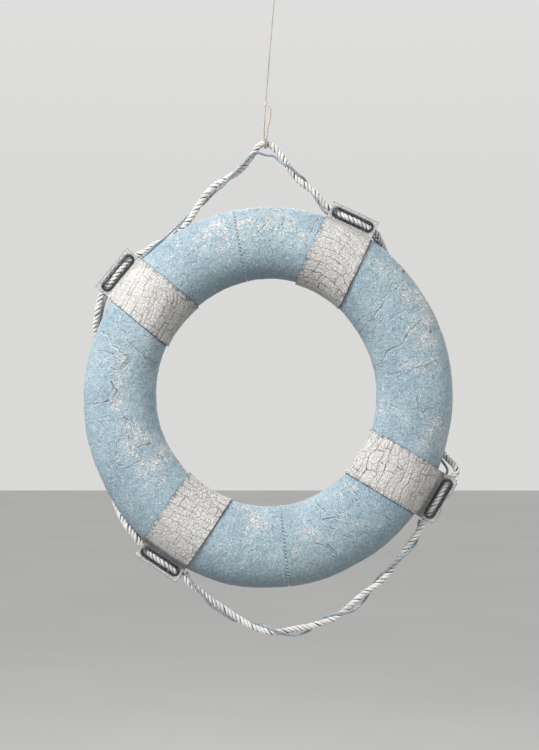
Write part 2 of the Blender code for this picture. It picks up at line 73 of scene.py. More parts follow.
LEAF_INSIDE = 0.0072
EYELET_AT = 0.392
HOLE_LENGTH = 0.080
HOLE_WIDTH = 0.013
HOLE_STRAIGHT = (HOLE_LENGTH - HOLE_WIDTH) / 2
SLOT_GROWTH = 0.0015
TAB_HALF_DEPTH = LEAF_INSIDE + BAND_THICKNESS + 0.0002
TAB_EDGE_INSET = 0.0006
BACK = np.array((0.0, 1.0, 0.0))

# Between these reaches, a band's paint and dents change to those of its tab
TAB_BEND = (0.372, 0.384)

# The cords
EYELET_BULGE = 0.0050
ROPE_DIAMETER = 0.013
LASHING_DIAMETER = 0.0055
TWINE_DIAMETER = 0.003
ROPE_LAY = 0.0285
LASHING_LAY = 0.0125
TWINE_LAY = 0.0075

# How the cork has slumped: (turn, reach of the hole's edge, reach of the rim)
OUTLINE = (
    (0, 0.2145, 0.3665), (12, 0.2150, 0.3655), (24, 0.2170, 0.3685), (36, 0.2205, 0.3705),
    (48, 0.2250, 0.3740), (60, 0.2310, 0.3775), (78, 0.2385, 0.3805), (90, 0.2395, 0.3815),
    (101, 0.2375, 0.3815), (112, 0.2340, 0.3800), (126, 0.2335, 0.3770), (140, 0.2320, 0.3740),
    (156, 0.2295, 0.3712), (168, 0.2285, 0.3715), (180, 0.2265, 0.3720), (198, 0.2255, 0.3722),
    (210, 0.2225, 0.3745), (222, 0.2205, 0.3765), (236, 0.2200, 0.3785), (252, 0.2195, 0.3810),
    (264, 0.2175, 0.3812), (276, 0.2165, 0.3800), (288, 0.2160, 0.3785), (300, 0.2150, 0.3755),
    (312, 0.2135, 0.3730), (330, 0.2130, 0.3680), (348, 0.2135, 0.3635),
)


def tenths(*values):
    """Points given in tenths of a millimetre, in metres."""
    return np.array(values) / 10000


# The same routes as in the CAD model, from the middle of the ring.
UPPER_LINE = tenths(
    (-1765, 0, -3536), (-2015, 0, -3369), (-2347, 0, -3147), (-2532, 0, -2974), (-2650, 0, -2820),
    (-2786, 20, -2654), (-2924, 100, -2470), (-3028, 190, -2286), (-3150, 360, -1960),
    (-3250, 600, -1300), (-3310, 670, -500), (-3370, 640, 300), (-3440, 470, 950), (-3496, 230, 1376),
    (-3455, 80, 1620), (-3405, 0, 1880), (-3344, 0, 2083), (-3242, 0, 2206), (-3025, 0, 2494),
    (-2872, 0, 2679), (-2745, 0, 2795), (-2610, 0, 2865), (-2440, 10, 2955), (-2274, 80, 3080),
    (-1994, 190, 3215), (-1770, 170, 3400), (-1574, 100, 3620), (-1292, 30, 4042), (-1096, 0, 4238),
    (-816, 0, 4406), (-562, 0, 4574), (-345, 0, 4850), (-229, 0, 5024), (-161, 0, 5073), (-80, 0, 5090),
    (1, 0, 5073), (64, 0, 5029), (174, 0, 4920), (288, 0, 4770), (428, 0, 4546), (624, 0, 4322),
    (848, 0, 4154), (1044, 0, 3956), (1172, 0, 3810), (1476, 0, 3638), (1838, 0, 3468),
    (2105, 10, 3325), (2175, 70, 3235), (2250, 180, 3110), (2330, 310, 2960), (2470, 450, 2700),
    (2660, 580, 2250), (2860, 660, 1500), (3030, 670, 700), (3200, 640, -50), (3370, 550, -700),
    (3500, 370, -1080), (3600, 200, -1230), (3700, 70, -1340), (3752, 0, -1460), (3710, 0, -1535),
    (3630, 0, -1590), (3521, 0, -1749), (3367, 0, -2007), (3214, 0, -2265), (3111, 0, -2437),
)
LOWER_LINE = tenths(
    (-1711, 0, -3572), (-1592, 0, -3700), (-1386, 0, -3870), (-1156, 0, -4054), (-880, 0, -4240),
    (-576, 0, -4442), (-352, 0, -4570), (-160, 0, -4648), (46, 0, -4690), (238, 0, -4680),
    (444, 0, -4632), (684, 0, -4592), (924, 0, -4538), (1162, 0, -4458), (1338, 0, -4390),
    (1592, 0, -4180), (1720, 0, -4060), (1874, 0, -3924), (2166, 0, -3720), (2422, 0, -3452),
    (2676, 0, -3096), (2804, 0, -2916), (2960, 0, -2700), (3078, 0, -2492),
)
LASHING_LEFT = tenths(
    (-1711, 0, -3454), (-2126, 0, -3176), (-2400, 10, -2975), (-2505, 30, -2888), (-2602, 60, -2790),
    (-2736, 100, -2606), (-2880, 200, -2440), (-2950, 290, -2300), (-3200, 450, -1900),
    (-3345, 630, -1300), (-3405, 690, -500), (-3465, 660, 300), (-3500, 560, 900), (-3480, 350, 1300),
    (-3430, 200, 1500), (-3345, 60, 1760), (-3300, 0, 1970), (-3220, 0, 2090), (-2951, 0, 2429),
)
LASHING_TOP = tenths(
    (-2947, 0, 2433), (-2758, 0, 2662), (-2640, 0, 2735), (-2560, -40, 2805), (-2410, -80, 2905),
    (-2295, -85, 3030), (-2120, 20, 3178), (-1880, 110, 3425), (-1700, 110, 3580), (-1404, 160, 3844),
    (-1264, 80, 3956), (-984, 0, 4238), (-760, -100, 4434), (-562, -90, 4630), (-400, -100, 4820),
    (-270, -105, 4900), (-160, -60, 4880), (-80, 0, 4850), (20, 0, 4850), (96, 0, 4861),
    (208, -10, 4714), (360, -102, 4650), (596, -80, 4434), (690, 20, 4390), (790, 102, 4220),
    (876, 80, 4098), (1010, 30, 3860), (1144, 0, 3690), (1613, 0, 3465),
)
LASHING_RIGHT = tenths(
    (1617, 0, 3463), (2068, 0, 3253), (2140, 100, 3190), (2215, 270, 3060), (2310, 420, 2960),
    (2470, 580, 2700), (2640, 710, 2250), (2830, 785, 1500), (3000, 795, 700), (3160, 765, -50),
    (3320, 660, -740), (3450, 430, -1180), (3520, 180, -1330), (3580, 20, -1450), (3539, 0, -1527),
    (3283, 0, -1957), (3027, 0, -2387),
)
LASHING_LOWER = tenths(
    (-1657, 0, -3490), (-1570, -90, -3688), (-1386, -102, -3870), (-1248, -60, -4032),
    (-1064, 0, -4225), (-830, 0, -4378), (-672, 50, -4458), (-510, 102, -4480), (-304, 60, -4506),
    (-114, 0, -4554), (94, -70, -4632), (238, -102, -4696), (382, -50, -4728), (524, 0, -4744),
    (684, 30, -4712), (812, 80, -4656), (900, 102, -4560), (988, 85, -4458), (1162, 20, -4362),
    (1360, -50, -4310), (1568, -102, -4282), (1694, -60, -4244), (1822, 0, -4140), (1962, 70, -3976),
    (2030, 102, -3840), (2102, 80, -3682), (2230, 20, -3554), (2358, -70, -3414), (2460, -90, -3312),
    (2614, -102, -3198), (2778, -60, -3082), (2900, 10, -2954), (2970, 80, -2840), (2990, 100, -2700),
    (3000, 60, -2560), (2994, 0, -2442),
)
STANDING_PART = tenths(
    (96, 0, 8005), (40, 4, 7340), (-20, 10, 6620), (-80, 30, 5900), (-103, 62, 5450), (-108, 85, 5220),
)
SHORT_END = tenths(
    (-52, -86, 5200), (-25, -70, 5400), (20, -52, 5620), (24, -40, 5760), (-20, -22, 5850),
)
TAIL_KNOT_AT = np.array((-0.0081, 0.0031, 0.5890))
APEX = np.array((-0.008, 0.0, 0.509))
HITCH_RADIUS = ROPE_DIAMETER / 2 + 0.0012 + TWINE_DIAMETER / 2
HITCH_PITCH = 0.0036
HITCH_TURNS = 1.5
EYE_RADIUS = 0.0095
EYE_LEG = 0.0022
EYE_DEPTH = 0.034

# The lashing is pressed this far into the rope
LASHING_SINK = 0.0002
STITCH_SPACING = 0.0075
THREAD_RADIUS = 0.0007

# Spacing of the meshes' points
COVER_STEP = 0.0012
BACK_COARSER = 1.9
BAND_STEP = 0.00094

# How long a band's flat tab is, and the bend before it, when their rows of points are counted
LEAF_LENGTH = 0.0305
BEND_LENGTH = 0.026

# The cover and its seams start and end on the back, near the hole
ROLLS = (-195, 165)

# Cells are numbered from here, so that their numbers stay above zero
CELL_OFFSET = 5000
BRICK_UNEVENNESS = 0.55
FLOOR_HEIGHT = -2.3


# Noise


def hashed(a, b, c, seed):
    """A number from 0 to 1 for each whole-number triple."""
    h = (
        a.astype(np.uint32) * np.uint32(0x1B873593)
        ^ b.astype(np.uint32) * np.uint32(0x27D4EB2D)
        ^ c.astype(np.uint32) * np.uint32(0x165667B1)
        ^ np.uint32((seed * 0x9E3779B1) & 0xFFFFFFFF)
    )
    h ^= h >> np.uint32(15)
    h *= np.uint32(0x85EBCA6B)
    h ^= h >> np.uint32(13)
    h *= np.uint32(0xC2B2AE35)
    h ^= h >> np.uint32(16)
    return h.astype(np.float64) / 4294967295.0


def noise(points, size, seed):
    """Smooth noise from -1 to 1 with bumps of about that size."""
    p = points / size + 1000.0
    whole = np.floor(p).astype(np.int64)
    f = p - whole
    f = f * f * (3 - 2 * f)
    total = 0.0
    for corner in itertools.product((0, 1), repeat=3):
        share = hashed(*(whole[..., axis] + corner[axis] for axis in range(3)), seed)
        for axis in range(3):
            share = share * (f[..., axis] if corner[axis] else 1 - f[..., axis])
        total = total + share
    return total * 2 - 1


def layered(points, size, layers, seed, falloff=0.5):
    """Noise with finer noise on it."""
    total, weight, norm = 0.0, 1.0, 0.0
    for i in range(layers):
        total = total + noise(points, size / 2**i, seed + 17 * i) * weight
        norm += weight
        weight *= falloff
    return total / norm


def cells(u, v, long, short, seed):
    """A plane split into uneven cells: how far each point's cell edge is, and a number for the cell."""
    u, v = u / long, v / short
    iu, iv = np.floor(u).astype(np.int64), np.floor(v).astype(np.int64)
    zero = np.zeros_like(iu)
    best = np.full(u.shape, 1e9)
    near_u, near_v, name = np.zeros(u.shape), np.zeros(u.shape), np.zeros(u.shape)
    seeds = []
    for du in (-1, 0, 1):
        for dv in (-1, 0, 1):
            cu, cv = iu + du, iv + dv
            near = cu + CELL_OFFSET, cv + CELL_OFFSET
            pu = cu + 0.1 + 0.8 * hashed(*near, zero, seed)
            pv = cv + 0.1 + 0.8 * hashed(*near, zero + 1, seed)
            seeds.append((pu, pv))
            d = (pu - u) ** 2 + (pv - v) ** 2
            closer = d < best
            best = np.where(closer, d, best)
            near_u, near_v = np.where(closer, pu, near_u), np.where(closer, pv, near_v)
            name = np.where(closer, hashed(*near, zero + 2, seed), name)
    edge = np.full(u.shape, 1e9)
    for pu, pv in seeds:
        gap_u, gap_v = pu - near_u, pv - near_v
        other = np.hypot(gap_u, gap_v) > 1e-6
        slope = np.where(other, np.hypot(gap_u / long, gap_v / short), 1.0)
        d = (((pu + near_u) / 2 - u) * gap_u + ((pv + near_v) / 2 - v) * gap_v) / slope
        edge = np.where(other & (d < edge), d, edge)
    return edge, name


def uneven_steps(place, size, row, kind, seed):
    """Which of a row's uneven steps each place is in, and how far that step's nearer end is."""

    def start(step):
        shift = hashed(step + CELL_OFFSET, row + CELL_OFFSET, np.full_like(step, kind), seed) - 0.5
        return (step + BRICK_UNEVENNESS * shift) * size

    step = np.floor(place / size).astype(np.int64)
    step = step - (place < start(step))
    step = step + (place >= start(step + 1))
    return step, np.minimum(place - start(step), start(step + 1) - place)


def bricks(u, v, long, short, seed):
    """Like cells, for long uneven rows with short joints across them."""
    zero = np.zeros(v.shape, np.int64)
    row, to_row = uneven_steps(v, short, zero, 3, seed)
    stagger = hashed(row + CELL_OFFSET, row, zero, seed) * long
    column, to_joint = uneven_steps(u + stagger, long, row, 4, seed)
    name = hashed(row + CELL_OFFSET, column + CELL_OFFSET, zero, seed + 1)
    return np.minimum(to_row, to_joint), name


def ramp(value, low, high):
    """0 below low, 1 above high, smooth between them."""
    t = np.clip((value - low) / (high - low), 0.0, 1.0)
    return t * t * (3 - 2 * t)


def underside(normal):
    """How much a surface faces down, from 0 to 1."""
    return ramp(-normal[..., 2], -0.05, 1.05)


# Meshes


def build_mesh(name, points, faces, material, values=None):
    """A smooth mesh from arrays, with point values that its material reads."""
    mesh = bpy.data.meshes.new(name)
    mesh.from_pydata(points.reshape(-1, 3).tolist(), [], faces)
    mesh.shade_smooth()
    for key, value in (values or {}).items():
        value = np.ascontiguousarray(value, np.float32)
        if value.size == 3 * len(mesh.vertices):
            attribute = mesh.attributes.new(key, "FLOAT_VECTOR", "POINT")
            attribute.data.foreach_set("vector", value.ravel())
        else:
            attribute = mesh.attributes.new(key, "FLOAT", "POINT")
            attribute.data.foreach_set("value", value.ravel())
    mesh.materials.append(material)
    piece = bpy.data.objects.new(name, mesh)
    bpy.context.scene.collection.objects.link(piece)
    return piece


def ring_faces(rows, columns, closed_rows=False):
    """Quads of a grid whose columns close on themselves."""
    index = np.arange(rows * columns).reshape(rows, columns)
    after = np.roll(index, -1, axis=1)
    top, bottom = index, np.roll(index, -1, axis=0)
    top_next, bottom_next = after, np.roll(after, -1, axis=0)
    if not closed_rows:
        top, bottom = top[:-1], bottom[:-1]
        top_next, bottom_next = top_next[:-1], bottom_next[:-1]
    return np.stack([top, top_next, bottom_next, bottom], axis=-1).reshape(-1, 4).tolist()


def grid_normals(points):
    """Unit normals of a grid of points."""
    normal = np.cross(np.gradient(points, axis=1), np.gradient(points, axis=0))
    return normal / np.maximum(np.linalg.norm(normal, axis=-1, keepdims=True), 1e-12)


# Paths


def smooth_route(points, steps=12):
    """A Catmull-Rom curve through the points, as a close polyline."""
    route = np.array(points, float)
    ends = np.vstack([2 * route[0] - route[1], route, 2 * route[-1] - route[-2]])
    t = (np.arange(steps) / steps)[:, None]
    line = []
    for a, b, c, d in zip(ends, ends[1:], ends[2:], ends[3:]):
        bend = (2 * a - 5 * b + 4 * c - d) * t**2 + (3 * b - a - 3 * c + d) * t**3
        line.append(0.5 * (2 * b + (c - a) * t + bend))
    return np.vstack([*line, route[-1:]])


def lengths_of(line):
    """How far along the line each of its points is."""
    return np.concatenate([[0.0], np.cumsum(np.linalg.norm(np.diff(line, axis=0), axis=1))])


def spaced(line, spacing):
    """The line again in equal steps of about that length."""
    marks = lengths_of(line)
    goals = np.linspace(0.0, marks[-1], max(3, round(marks[-1] / spacing) + 1))
    return np.stack([np.interp(goals, marks, line[:, i]) for i in range(3)], axis=1)


def eased(line, rounds):
    """The line with its kinks smoothed away and its ends where they were."""
    line = line.copy()
    for _ in range(rounds):
        line[1:-1] += 0.25 * (line[:-2] + line[2:] - 2 * line[1:-1])
    return line


def beside(line, rope, distance, rounds=40):
    """The line eased, and pushed out until it stays at least that distance from the rope's middle."""
    line = line.copy()
    for i in range(rounds):
        gap = line[:, None, :] - rope[None, :, :]
        nearest = np.argmin((gap**2).sum(axis=2), axis=1)
        away = line - rope[nearest]
        along = np.gradient(rope, axis=0)[nearest]
        along /= np.linalg.norm(along, axis=1, keepdims=True)
        away -= along * (away * along).sum(axis=1, keepdims=True)
        length = np.linalg.norm(away, axis=1, keepdims=True)
        short = np.maximum(distance - length, 0.0)
        line += away / np.maximum(length, 1e-9) * short
        if i < rounds - 1:
            line = eased(line, 1)
    return line


def frames_along(line):
    """Three unit vectors at each point of a line: along it, and two across it that don't twist."""
    along = np.gradient(line, axis=0)
    along /= np.linalg.norm(along, axis=1, keepdims=True)
    side = np.zeros_like(line)
    first = np.array((0.0, 1.0, 0.0)) if abs(along[0, 1]) < 0.9 else np.array((1.0, 0.0, 0.0))
    side[0] = first - along[0] * (first @ along[0])
    side[0] /= np.linalg.norm(side[0])
    for i in range(1, len(line)):
        step = side[i - 1] - along[i] * (side[i - 1] @ along[i])
        side[i] = step / np.linalg.norm(step)
    return along, side, np.cross(along, side)


def tube(line, radius, sides):
    """Rings of points round a line, and the angle of each."""
    _, side, up = frames_along(line)
    turns = 2 * np.pi * np.arange(sides) / sides
    radius = np.broadcast_to(np.asarray(radius, float), (len(line),))[:, None, None]
    ring = side[:, None, :] * np.cos(turns)[None, :, None] + up[:, None, :] * np.sin(turns)[None, :, None]
    return line[:, None, :] + ring * radius, np.broadcast_to(turns, (len(line), sides))


def capped_tube(points):
    """A tube's rings with a point closing each end, and the faces of all of it."""
    rows, sides = points.shape[:2]
    faces = ring_faces(rows, sides)
    flat = points.reshape(-1, 3)
    start, end = len(flat), len(flat) + 1
    for i in range(sides):
        j = (i + 1) % sides
        faces.append((j, i, start))
        last = (rows - 1) * sides
        faces.append((last + i, last + j, end))
    return np.vstack([flat, points[0].mean(axis=0), points[-1].mean(axis=0)]), faces


def strand(line, radius, sides, reach=None):
    """A capped tube round a line: its points, its faces, and what its yarn's material reads."""
    points, turns = tube(line, radius, sides)
    marks = lengths_of(line)
    away = np.ones(turns.shape) if reach is None else reach(points)
    values = {
        "along": np.concatenate([np.repeat(marks, sides), marks[[0, -1]]]),
        "around": np.concatenate([turns.ravel(), [0.0, 0.0]]),
        "reach": np.concatenate([away.ravel(), [1.0, 1.0]]),
    }
    points, faces = capped_tube(points)
    return points, faces, values


def joined(parts):
    """Several parts, each (points, faces, values), as one."""
    faces, count = [], 0
    for points, own_faces, _ in parts:
        faces += [tuple(i + count for i in face) for face in own_faces]
        count += len(points)
    values = {key: np.concatenate([part[2][key] for part in parts]) for key in parts[0][2]}
    return np.vstack([part[0] for part in parts]), faces, values


def laid_rope(line, diameter, lay, strands=3, sides=12, start=0.0, wander=0.0, seed=1):
    """A rope of strands twisted round a line, as (points, faces, values)."""
    radius = diameter / 2 / (1 + 1 / math.sin(math.pi / strands)) if strands > 2 else diameter / 4
    offset = diameter / 2 - radius
    _, side, up = frames_along(line)
    marks = lengths_of(line)

    def reach(points):
        return np.linalg.norm(points - line[:, None, :], axis=2) / (diameter / 2)

    parts = []
    for k in range(strands):
        turn = start + 2 * np.pi * (marks / lay + k / strands)
        drift = np.column_stack([marks, np.full_like(marks, k * 7.3), marks * 0])
        turn = turn + wander * noise(drift, 0.05, seed)
        out = offset * (1 + 0.04 * noise(drift, 0.012, seed + 5))
        centre = line + side * (out * np.cos(turn))[:, None] + up * (out * np.sin(turn))[:, None]
        size = radius * 1.06 * (1 + 0.05 * noise(drift, 0.007, seed + 9))
        parts.append(strand(centre, size, sides, reach))
    return joined(parts)


# Materials

BLUE_DEEP = (0.275, 0.385, 0.450)
BLUE_PALE = (0.425, 0.540, 0.595)
WHITE_DEEP = (0.49, 0.475, 0.455)
WHITE_PALE = (0.665, 0.65, 0.625)


class Shader:
    """A material's nodes, added with short calls."""

    def __init__(self, name, roughness=0.7, metallic=0.0):
        self.material = bpy.data.materials.new(name)
        self.material.use_nodes = True
        self.tree = self.material.node_tree
        self.surface = self.tree.nodes["Principled BSDF"]
        self.surface.inputs["Roughness"].default_value = roughness
        self.surface.inputs["Metallic"].default_value = metallic

    def add(self, kind, inputs=None, **settings):
        node = self.tree.nodes.new(kind)
        for key, value in settings.items():
            setattr(node, key, value)
        for key, value in (inputs or {}).items():
            if isinstance(value, bpy.types.NodeSocket):
                self.tree.links.new(value, node.inputs[key])
            else:
                node.inputs[key].default_value = value
        return node

    def place(self):
        return self.add("ShaderNodeTexCoord").outputs["Object"]

    def value(self, name):
        return self.add("ShaderNodeAttribute", attribute_name=name).outputs["Fac"]

    def noise(self, size, detail=4.0, rough=0.55, stretch=None, distortion=0.0):
        place = self.place()
        if stretch:
            place = self.add("ShaderNodeMapping", {"Vector": place, "Scale": stretch}).outputs[0]
        inputs = {
            "Vector": place,
            "Scale": 1 / size,
            "Detail": detail,
            "Roughness": rough,
            "Distortion": distortion,
        }
        return self.add("ShaderNodeTexNoise", inputs).outputs["Fac"]

    def edges(self, size, place=None):
        inputs = {"Vector": place or self.place(), "Scale": 1 / size}
        node = self.add("ShaderNodeTexVoronoi", inputs, feature="DISTANCE_TO_EDGE")
        return node.outputs["Distance"]

    def math(self, operation, a, b=0.5, c=0.5):
        node = self.add("ShaderNodeMath", operation=operation)
        for i, value in enumerate((a, b, c)):
            if isinstance(value, bpy.types.NodeSocket):
                self.tree.links.new(value, node.inputs[i])
            else:
                node.inputs[i].default_value = value
        return node.outputs[0]

    def vectors(self, operation, a, b):
        return self.add("ShaderNodeVectorMath", {0: a, 1: b}, operation=operation).outputs[0]

    def steps(self, value, low, high, start=0.0, end=1.0):
        """start below low, end above high, smooth between."""
        inputs = {"Value": value, "From Min": low, "From Max": high, "To Min": start, "To Max": end}
        node = self.add("ShaderNodeMapRange", inputs, interpolation_type="SMOOTHSTEP")
        return node.outputs["Result"]

    def colours(self, value, stops):
        node = self.add("ShaderNodeValToRGB", {"Fac": value})
        ramp_stops = node.color_ramp.elements
        for i, (place, colour) in enumerate(stops):
            stop = ramp_stops[i] if i < 2 else ramp_stops.new(place)
            stop.position = place
            stop.color = (*colour, 1.0)
        return node.outputs["Color"]

    def mix(self, share, a, b, blend="MIX"):
        node = self.add("ShaderNodeMix", data_type="RGBA", blend_type=blend)
        for key, value in ((0, share), (6, a), (7, b)):
            if isinstance(value, bpy.types.NodeSocket):
                self.tree.links.new(value, node.inputs[key])
            elif key == 0:
                node.inputs[key].default_value = value
            else:
                node.inputs[key].default_value = (*value, 1.0)
        return node.outputs[2]

    def bump(self, height, distance, strength=1.0, under=None):
        inputs = {"Height": height, "Distance": distance, "Strength": strength}
        if under:
            inputs["Normal"] = under
        return self.add("ShaderNodeBump", inputs).outputs["Normal"]

    def finish(self, colour=None, roughness=None, normal=None):
        for key, value in (("Base Color", colour), ("Roughness", roughness), ("Normal", normal)):
            if value is not None:
                self.tree.links.new(value, self.surface.inputs[key])
        return self.material


def blue_paint():
    """Old blue paint on canvas."""
    s = Shader("blue_paint", 0.55)
    broad = s.noise(0.09, 3.0, 0.6)
    colour = s.colours(broad, [(0.3, BLUE_DEEP), (0.72, BLUE_PALE)])
    mottle = s.noise(0.012, 5.0, 0.7)
    colour = s.mix(s.steps(mottle, 0.48, 0.72, 0.0, 0.40), colour, (0.52, 0.66, 0.735))
    colour = s.mix(s.steps(mottle, 0.50, 0.28, 0.0, 0.45), colour, (0.155, 0.255, 0.345))

    # Chalky flecks where the paint has weathered
    worn = s.value("worn")
    grain = s.noise(0.0046, 5.0, 0.66, distortion=0.5)
    fleck = s.math("MULTIPLY_ADD", worn, 0.18, grain)
    share = s.steps(fleck, 0.640, 0.668)
    worn_broadly = s.math("MULTIPLY_ADD", worn, 0.30, s.noise(0.020, 4.0, 0.65))
    veil = s.steps(worn_broadly, 0.50, 0.82, 0.0, 0.52)
    colour = s.mix(veil, colour, (0.60, 0.68, 0.71))
    rim = s.steps(fleck, 0.610, 0.642)
    colour = s.mix(s.math("MULTIPLY", rim, 0.35), colour, (0.115, 0.185, 0.245))
    colour = s.mix(s.math("MULTIPLY", share, 0.95), colour, (0.80, 0.78, 0.745))
    # Painted highlight on the lifted paint beside the cracks
    lip_highlight = s.math("MULTIPLY", s.value("lip_highlight"), s.steps(grain, 0.42, 0.56, 0.35, 0.95))
    colour = s.mix(lip_highlight, colour, (0.78, 0.80, 0.79))
    colour = s.mix(s.math("MULTIPLY", s.value("stain"), 0.65), colour, (0.50, 0.45, 0.35))
    colour = s.mix(s.math("MULTIPLY", s.value("rust"), 0.85), colour, (0.165, 0.030, 0.028))
    # Darkens the cracks and seams, and paints the shadow beside the bands
    colour = s.mix(s.math("MULTIPLY", s.value("crack_and_shadow"), 0.92), colour, (0.035, 0.060, 0.085))

    # Painted shade: the surfaces that face down are darkened
    colour = s.mix(s.math("MULTIPLY", s.value("shaded"), 0.80), colour, (0.085, 0.130, 0.165))

    # Fine wrinkles, with painted shade in their hollows and a painted highlight on their crests
    wrinkle = s.noise(0.0036, 3.0, 0.6, distortion=1.2)
    colour = s.mix(s.steps(wrinkle, 0.48, 0.33, 0.0, 0.62), colour, (0.09, 0.145, 0.190))
    colour = s.mix(s.steps(wrinkle, 0.55, 0.68, 0.0, 0.50), colour, (0.62, 0.70, 0.74))
    crackle = s.edges(0.0052)
    line = s.math("MULTIPLY", s.steps(crackle, 0.055, 0.010), s.steps(mottle, 0.40, 0.60, 0.20, 0.70))
    colour = s.mix(line, colour, (0.075, 0.120, 0.160))
    normal = s.bump(s.noise(0.012, 3.0, 0.6), 0.0045, 0.7)
    normal = s.bump(s.math("MINIMUM", crackle, 0.12), 0.0045, 0.6, normal)
    normal = s.bump(wrinkle, 0.0036, 0.9, normal)
    normal = s.bump(share, 0.0005, 0.9, normal)
    roughness = s.steps(share, 0.0, 1.0, 0.48, 0.85)
    return s.finish(colour, roughness, normal)


def white_paint():
    """Old white paint on canvas, crazed."""
    s = Shader("white_paint", 0.7)
    broad = s.noise(0.030, 4.0, 0.62)
    colour = s.colours(broad, [(0.3, WHITE_DEEP), (0.68, WHITE_PALE)])
    speck = s.noise(0.0035, 5.0, 0.7)
    colour = s.mix(s.steps(speck, 0.56, 0.70, 0.0, 0.35), colour, (0.40, 0.385, 0.37))
    colour = s.mix(s.math("MULTIPLY", s.value("tone"), 0.28), colour, (0.42, 0.405, 0.39))
    cloth = s.add("ShaderNodeAttribute", attribute_name="cloth").outputs["Vector"]
    bent = s.add("ShaderNodeTexNoise", {"Vector": cloth, "Scale": 160.0, "Detail": 3.0}).outputs["Color"]
    shift = s.vectors("SUBTRACT", bent, (0.5, 0.5, 0.5))
    place = s.vectors("ADD", cloth, s.vectors("MULTIPLY", shift, (0.0045, 0.0045, 0.0)))
    craze = s.edges(0.0062, place)
    fine = s.math("MULTIPLY", s.steps(craze, 0.070, 0.015), s.steps(broad, 0.40, 0.58, 0.25, 0.85))
    colour = s.mix(s.math("MULTIPLY", fine, 0.60), colour, (0.15, 0.145, 0.14))
    # Darkens the tabs' edges and holes, and paints shade in the bends and on the undersides
    colour = s.mix(s.math("MULTIPLY", s.value("grime_and_shade"), 0.9), colour, (0.085, 0.085, 0.09))
    colour = s.mix(s.value("crack_and_shadow"), colour, (0.060, 0.057, 0.056))
    normal = s.bump(s.noise(0.009, 3.0), 0.0022, 0.6)
    normal = s.bump(s.math("MINIMUM", craze, 0.16), 0.0060, 0.7, normal)
    normal = s.bump(s.noise(0.0022, 4.0, 0.65), 0.0010, 0.6, normal)
    return s.finish(colour, s.steps(speck, 0.3, 0.7, 0.60, 0.8), normal)


def rope_yarn(name, light, dark, twist, roughness=0.85, bump=0.0006):
    """Yarns running round each strand at a slant."""
    s = Shader(name, roughness)
    around = s.math("MULTIPLY", s.value("around"), 4.0)
    along = s.math("MULTIPLY", s.value("along"), twist)
    slant = s.math("ADD", along, around)
    yarn = s.math("MULTIPLY_ADD", s.math("SINE", slant), 0.5, 0.5)
    fuzz = s.noise(0.0024, 5.0, 0.75)
    tone = s.noise(0.028, 3.0, 0.6)
    colour = s.mix(s.steps(tone, 0.3, 0.7), dark, light)
    # Painted shade between the yarns
    colour = s.mix(s.steps(yarn, 0.0, 0.42, 0.20, 0.0), colour, tuple(c * 0.33 for c in dark))
    bright = tuple(min(1.0, c * 1.25) for c in light)
    colour = s.mix(s.steps(fuzz, 0.55, 0.75, 0.0, 0.25), colour, bright)
    # Painted shade deep between the strands, where they face in towards the rope's middle
    groove_shade = s.steps(s.value("reach"), 0.92, 0.68, 0.0, 0.95)
    colour = s.mix(groove_shade, colour, (0.030, 0.035, 0.042))
    normal = s.bump(yarn, bump, 0.8)
    normal = s.bump(fuzz, bump * 0.8, 0.7, normal)
    return s.finish(colour, None, normal)


def dark_metal():
    """Dark worn metal of the eyelets."""
    s = Shader("dark_metal", 0.4, 0.75)
    wear = s.noise(0.006, 5.0, 0.65)
    colour = s.colours(wear, [(0.38, (0.024, 0.030, 0.037)), (0.70, (0.110, 0.128, 0.146))])
    rough = s.steps(s.noise(0.003, 4.0, 0.7), 0.3, 0.7, 0.28, 0.62)
    return s.finish(colour, rough, s.bump(wear, 0.0004, 0.5))


def cork():
    """Brown cork, in grains."""
    s = Shader("cork", 0.9)
    grain = s.add("ShaderNodeTexVoronoi", {"Vector": s.place(), "Scale": 260.0})
    colour = s.colours(s.noise(0.006, 4.0, 0.6), [(0.35, (0.20, 0.11, 0.05)), (0.7, (0.50, 0.31, 0.16))])
    return s.finish(colour, None, s.bump(grain.outputs["Distance"], 0.002, 0.8))


def peg_wood():
    """The pale wood of the pegs."""
    s = Shader("peg_wood", 0.65)
    grain = s.noise(0.004, 4.0, 0.6, stretch=(1.0, 1.0, 0.12))
    colour = s.colours(grain, [(0.3, (0.36, 0.22, 0.11)), (0.7, (0.58, 0.41, 0.24))])
    return s.finish(colour, None, s.bump(grain, 0.0006, 0.5))


BLUE = blue_paint()
WHITE = white_paint()
ROPE = rope_yarn("white_rope_yarn", (0.72, 0.705, 0.68), (0.55, 0.535, 0.51), 2300.0, bump=0.0004)
LASHING = rope_yarn("blue_cord_yarn", (0.43, 0.50, 0.55), (0.25, 0.32, 0.375), 3600.0, bump=0.0004)
TWINE = rope_yarn("twine_yarn", (0.80, 0.70, 0.60), (0.60, 0.49, 0.39), 3800.0, bump=0.0004)
THREAD = rope_yarn("seam_thread_yarn", (0.82, 0.82, 0.80), (0.62, 0.65, 0.66), 4200.0, bump=0.0002)
METAL = dark_metal()
CORK = cork()
PEG = peg_wood()


# The ring's own shape


def slumped(turn, column):
    """One column of OUTLINE at these angles, smoothed."""
    table = np.array(OUTLINE, float)
    total = 0.0
    for shift in (-9, -4.5, 0, 4.5, 9):
        total = total + np.interp((turn + shift) % 360, table[:, 0], table[:, column], period=360)
    return total / 5


def tube_radius(turn):
    """How far the middle of the tube is from the middle of the ring."""
    return (slumped(turn, 1) + slumped(turn, 2)) / 2


def tube_half_width(turn):
    """Half the tube's width, measured out from the middle of the ring."""
    return (slumped(turn, 2) - slumped(turn, 1)) / 2


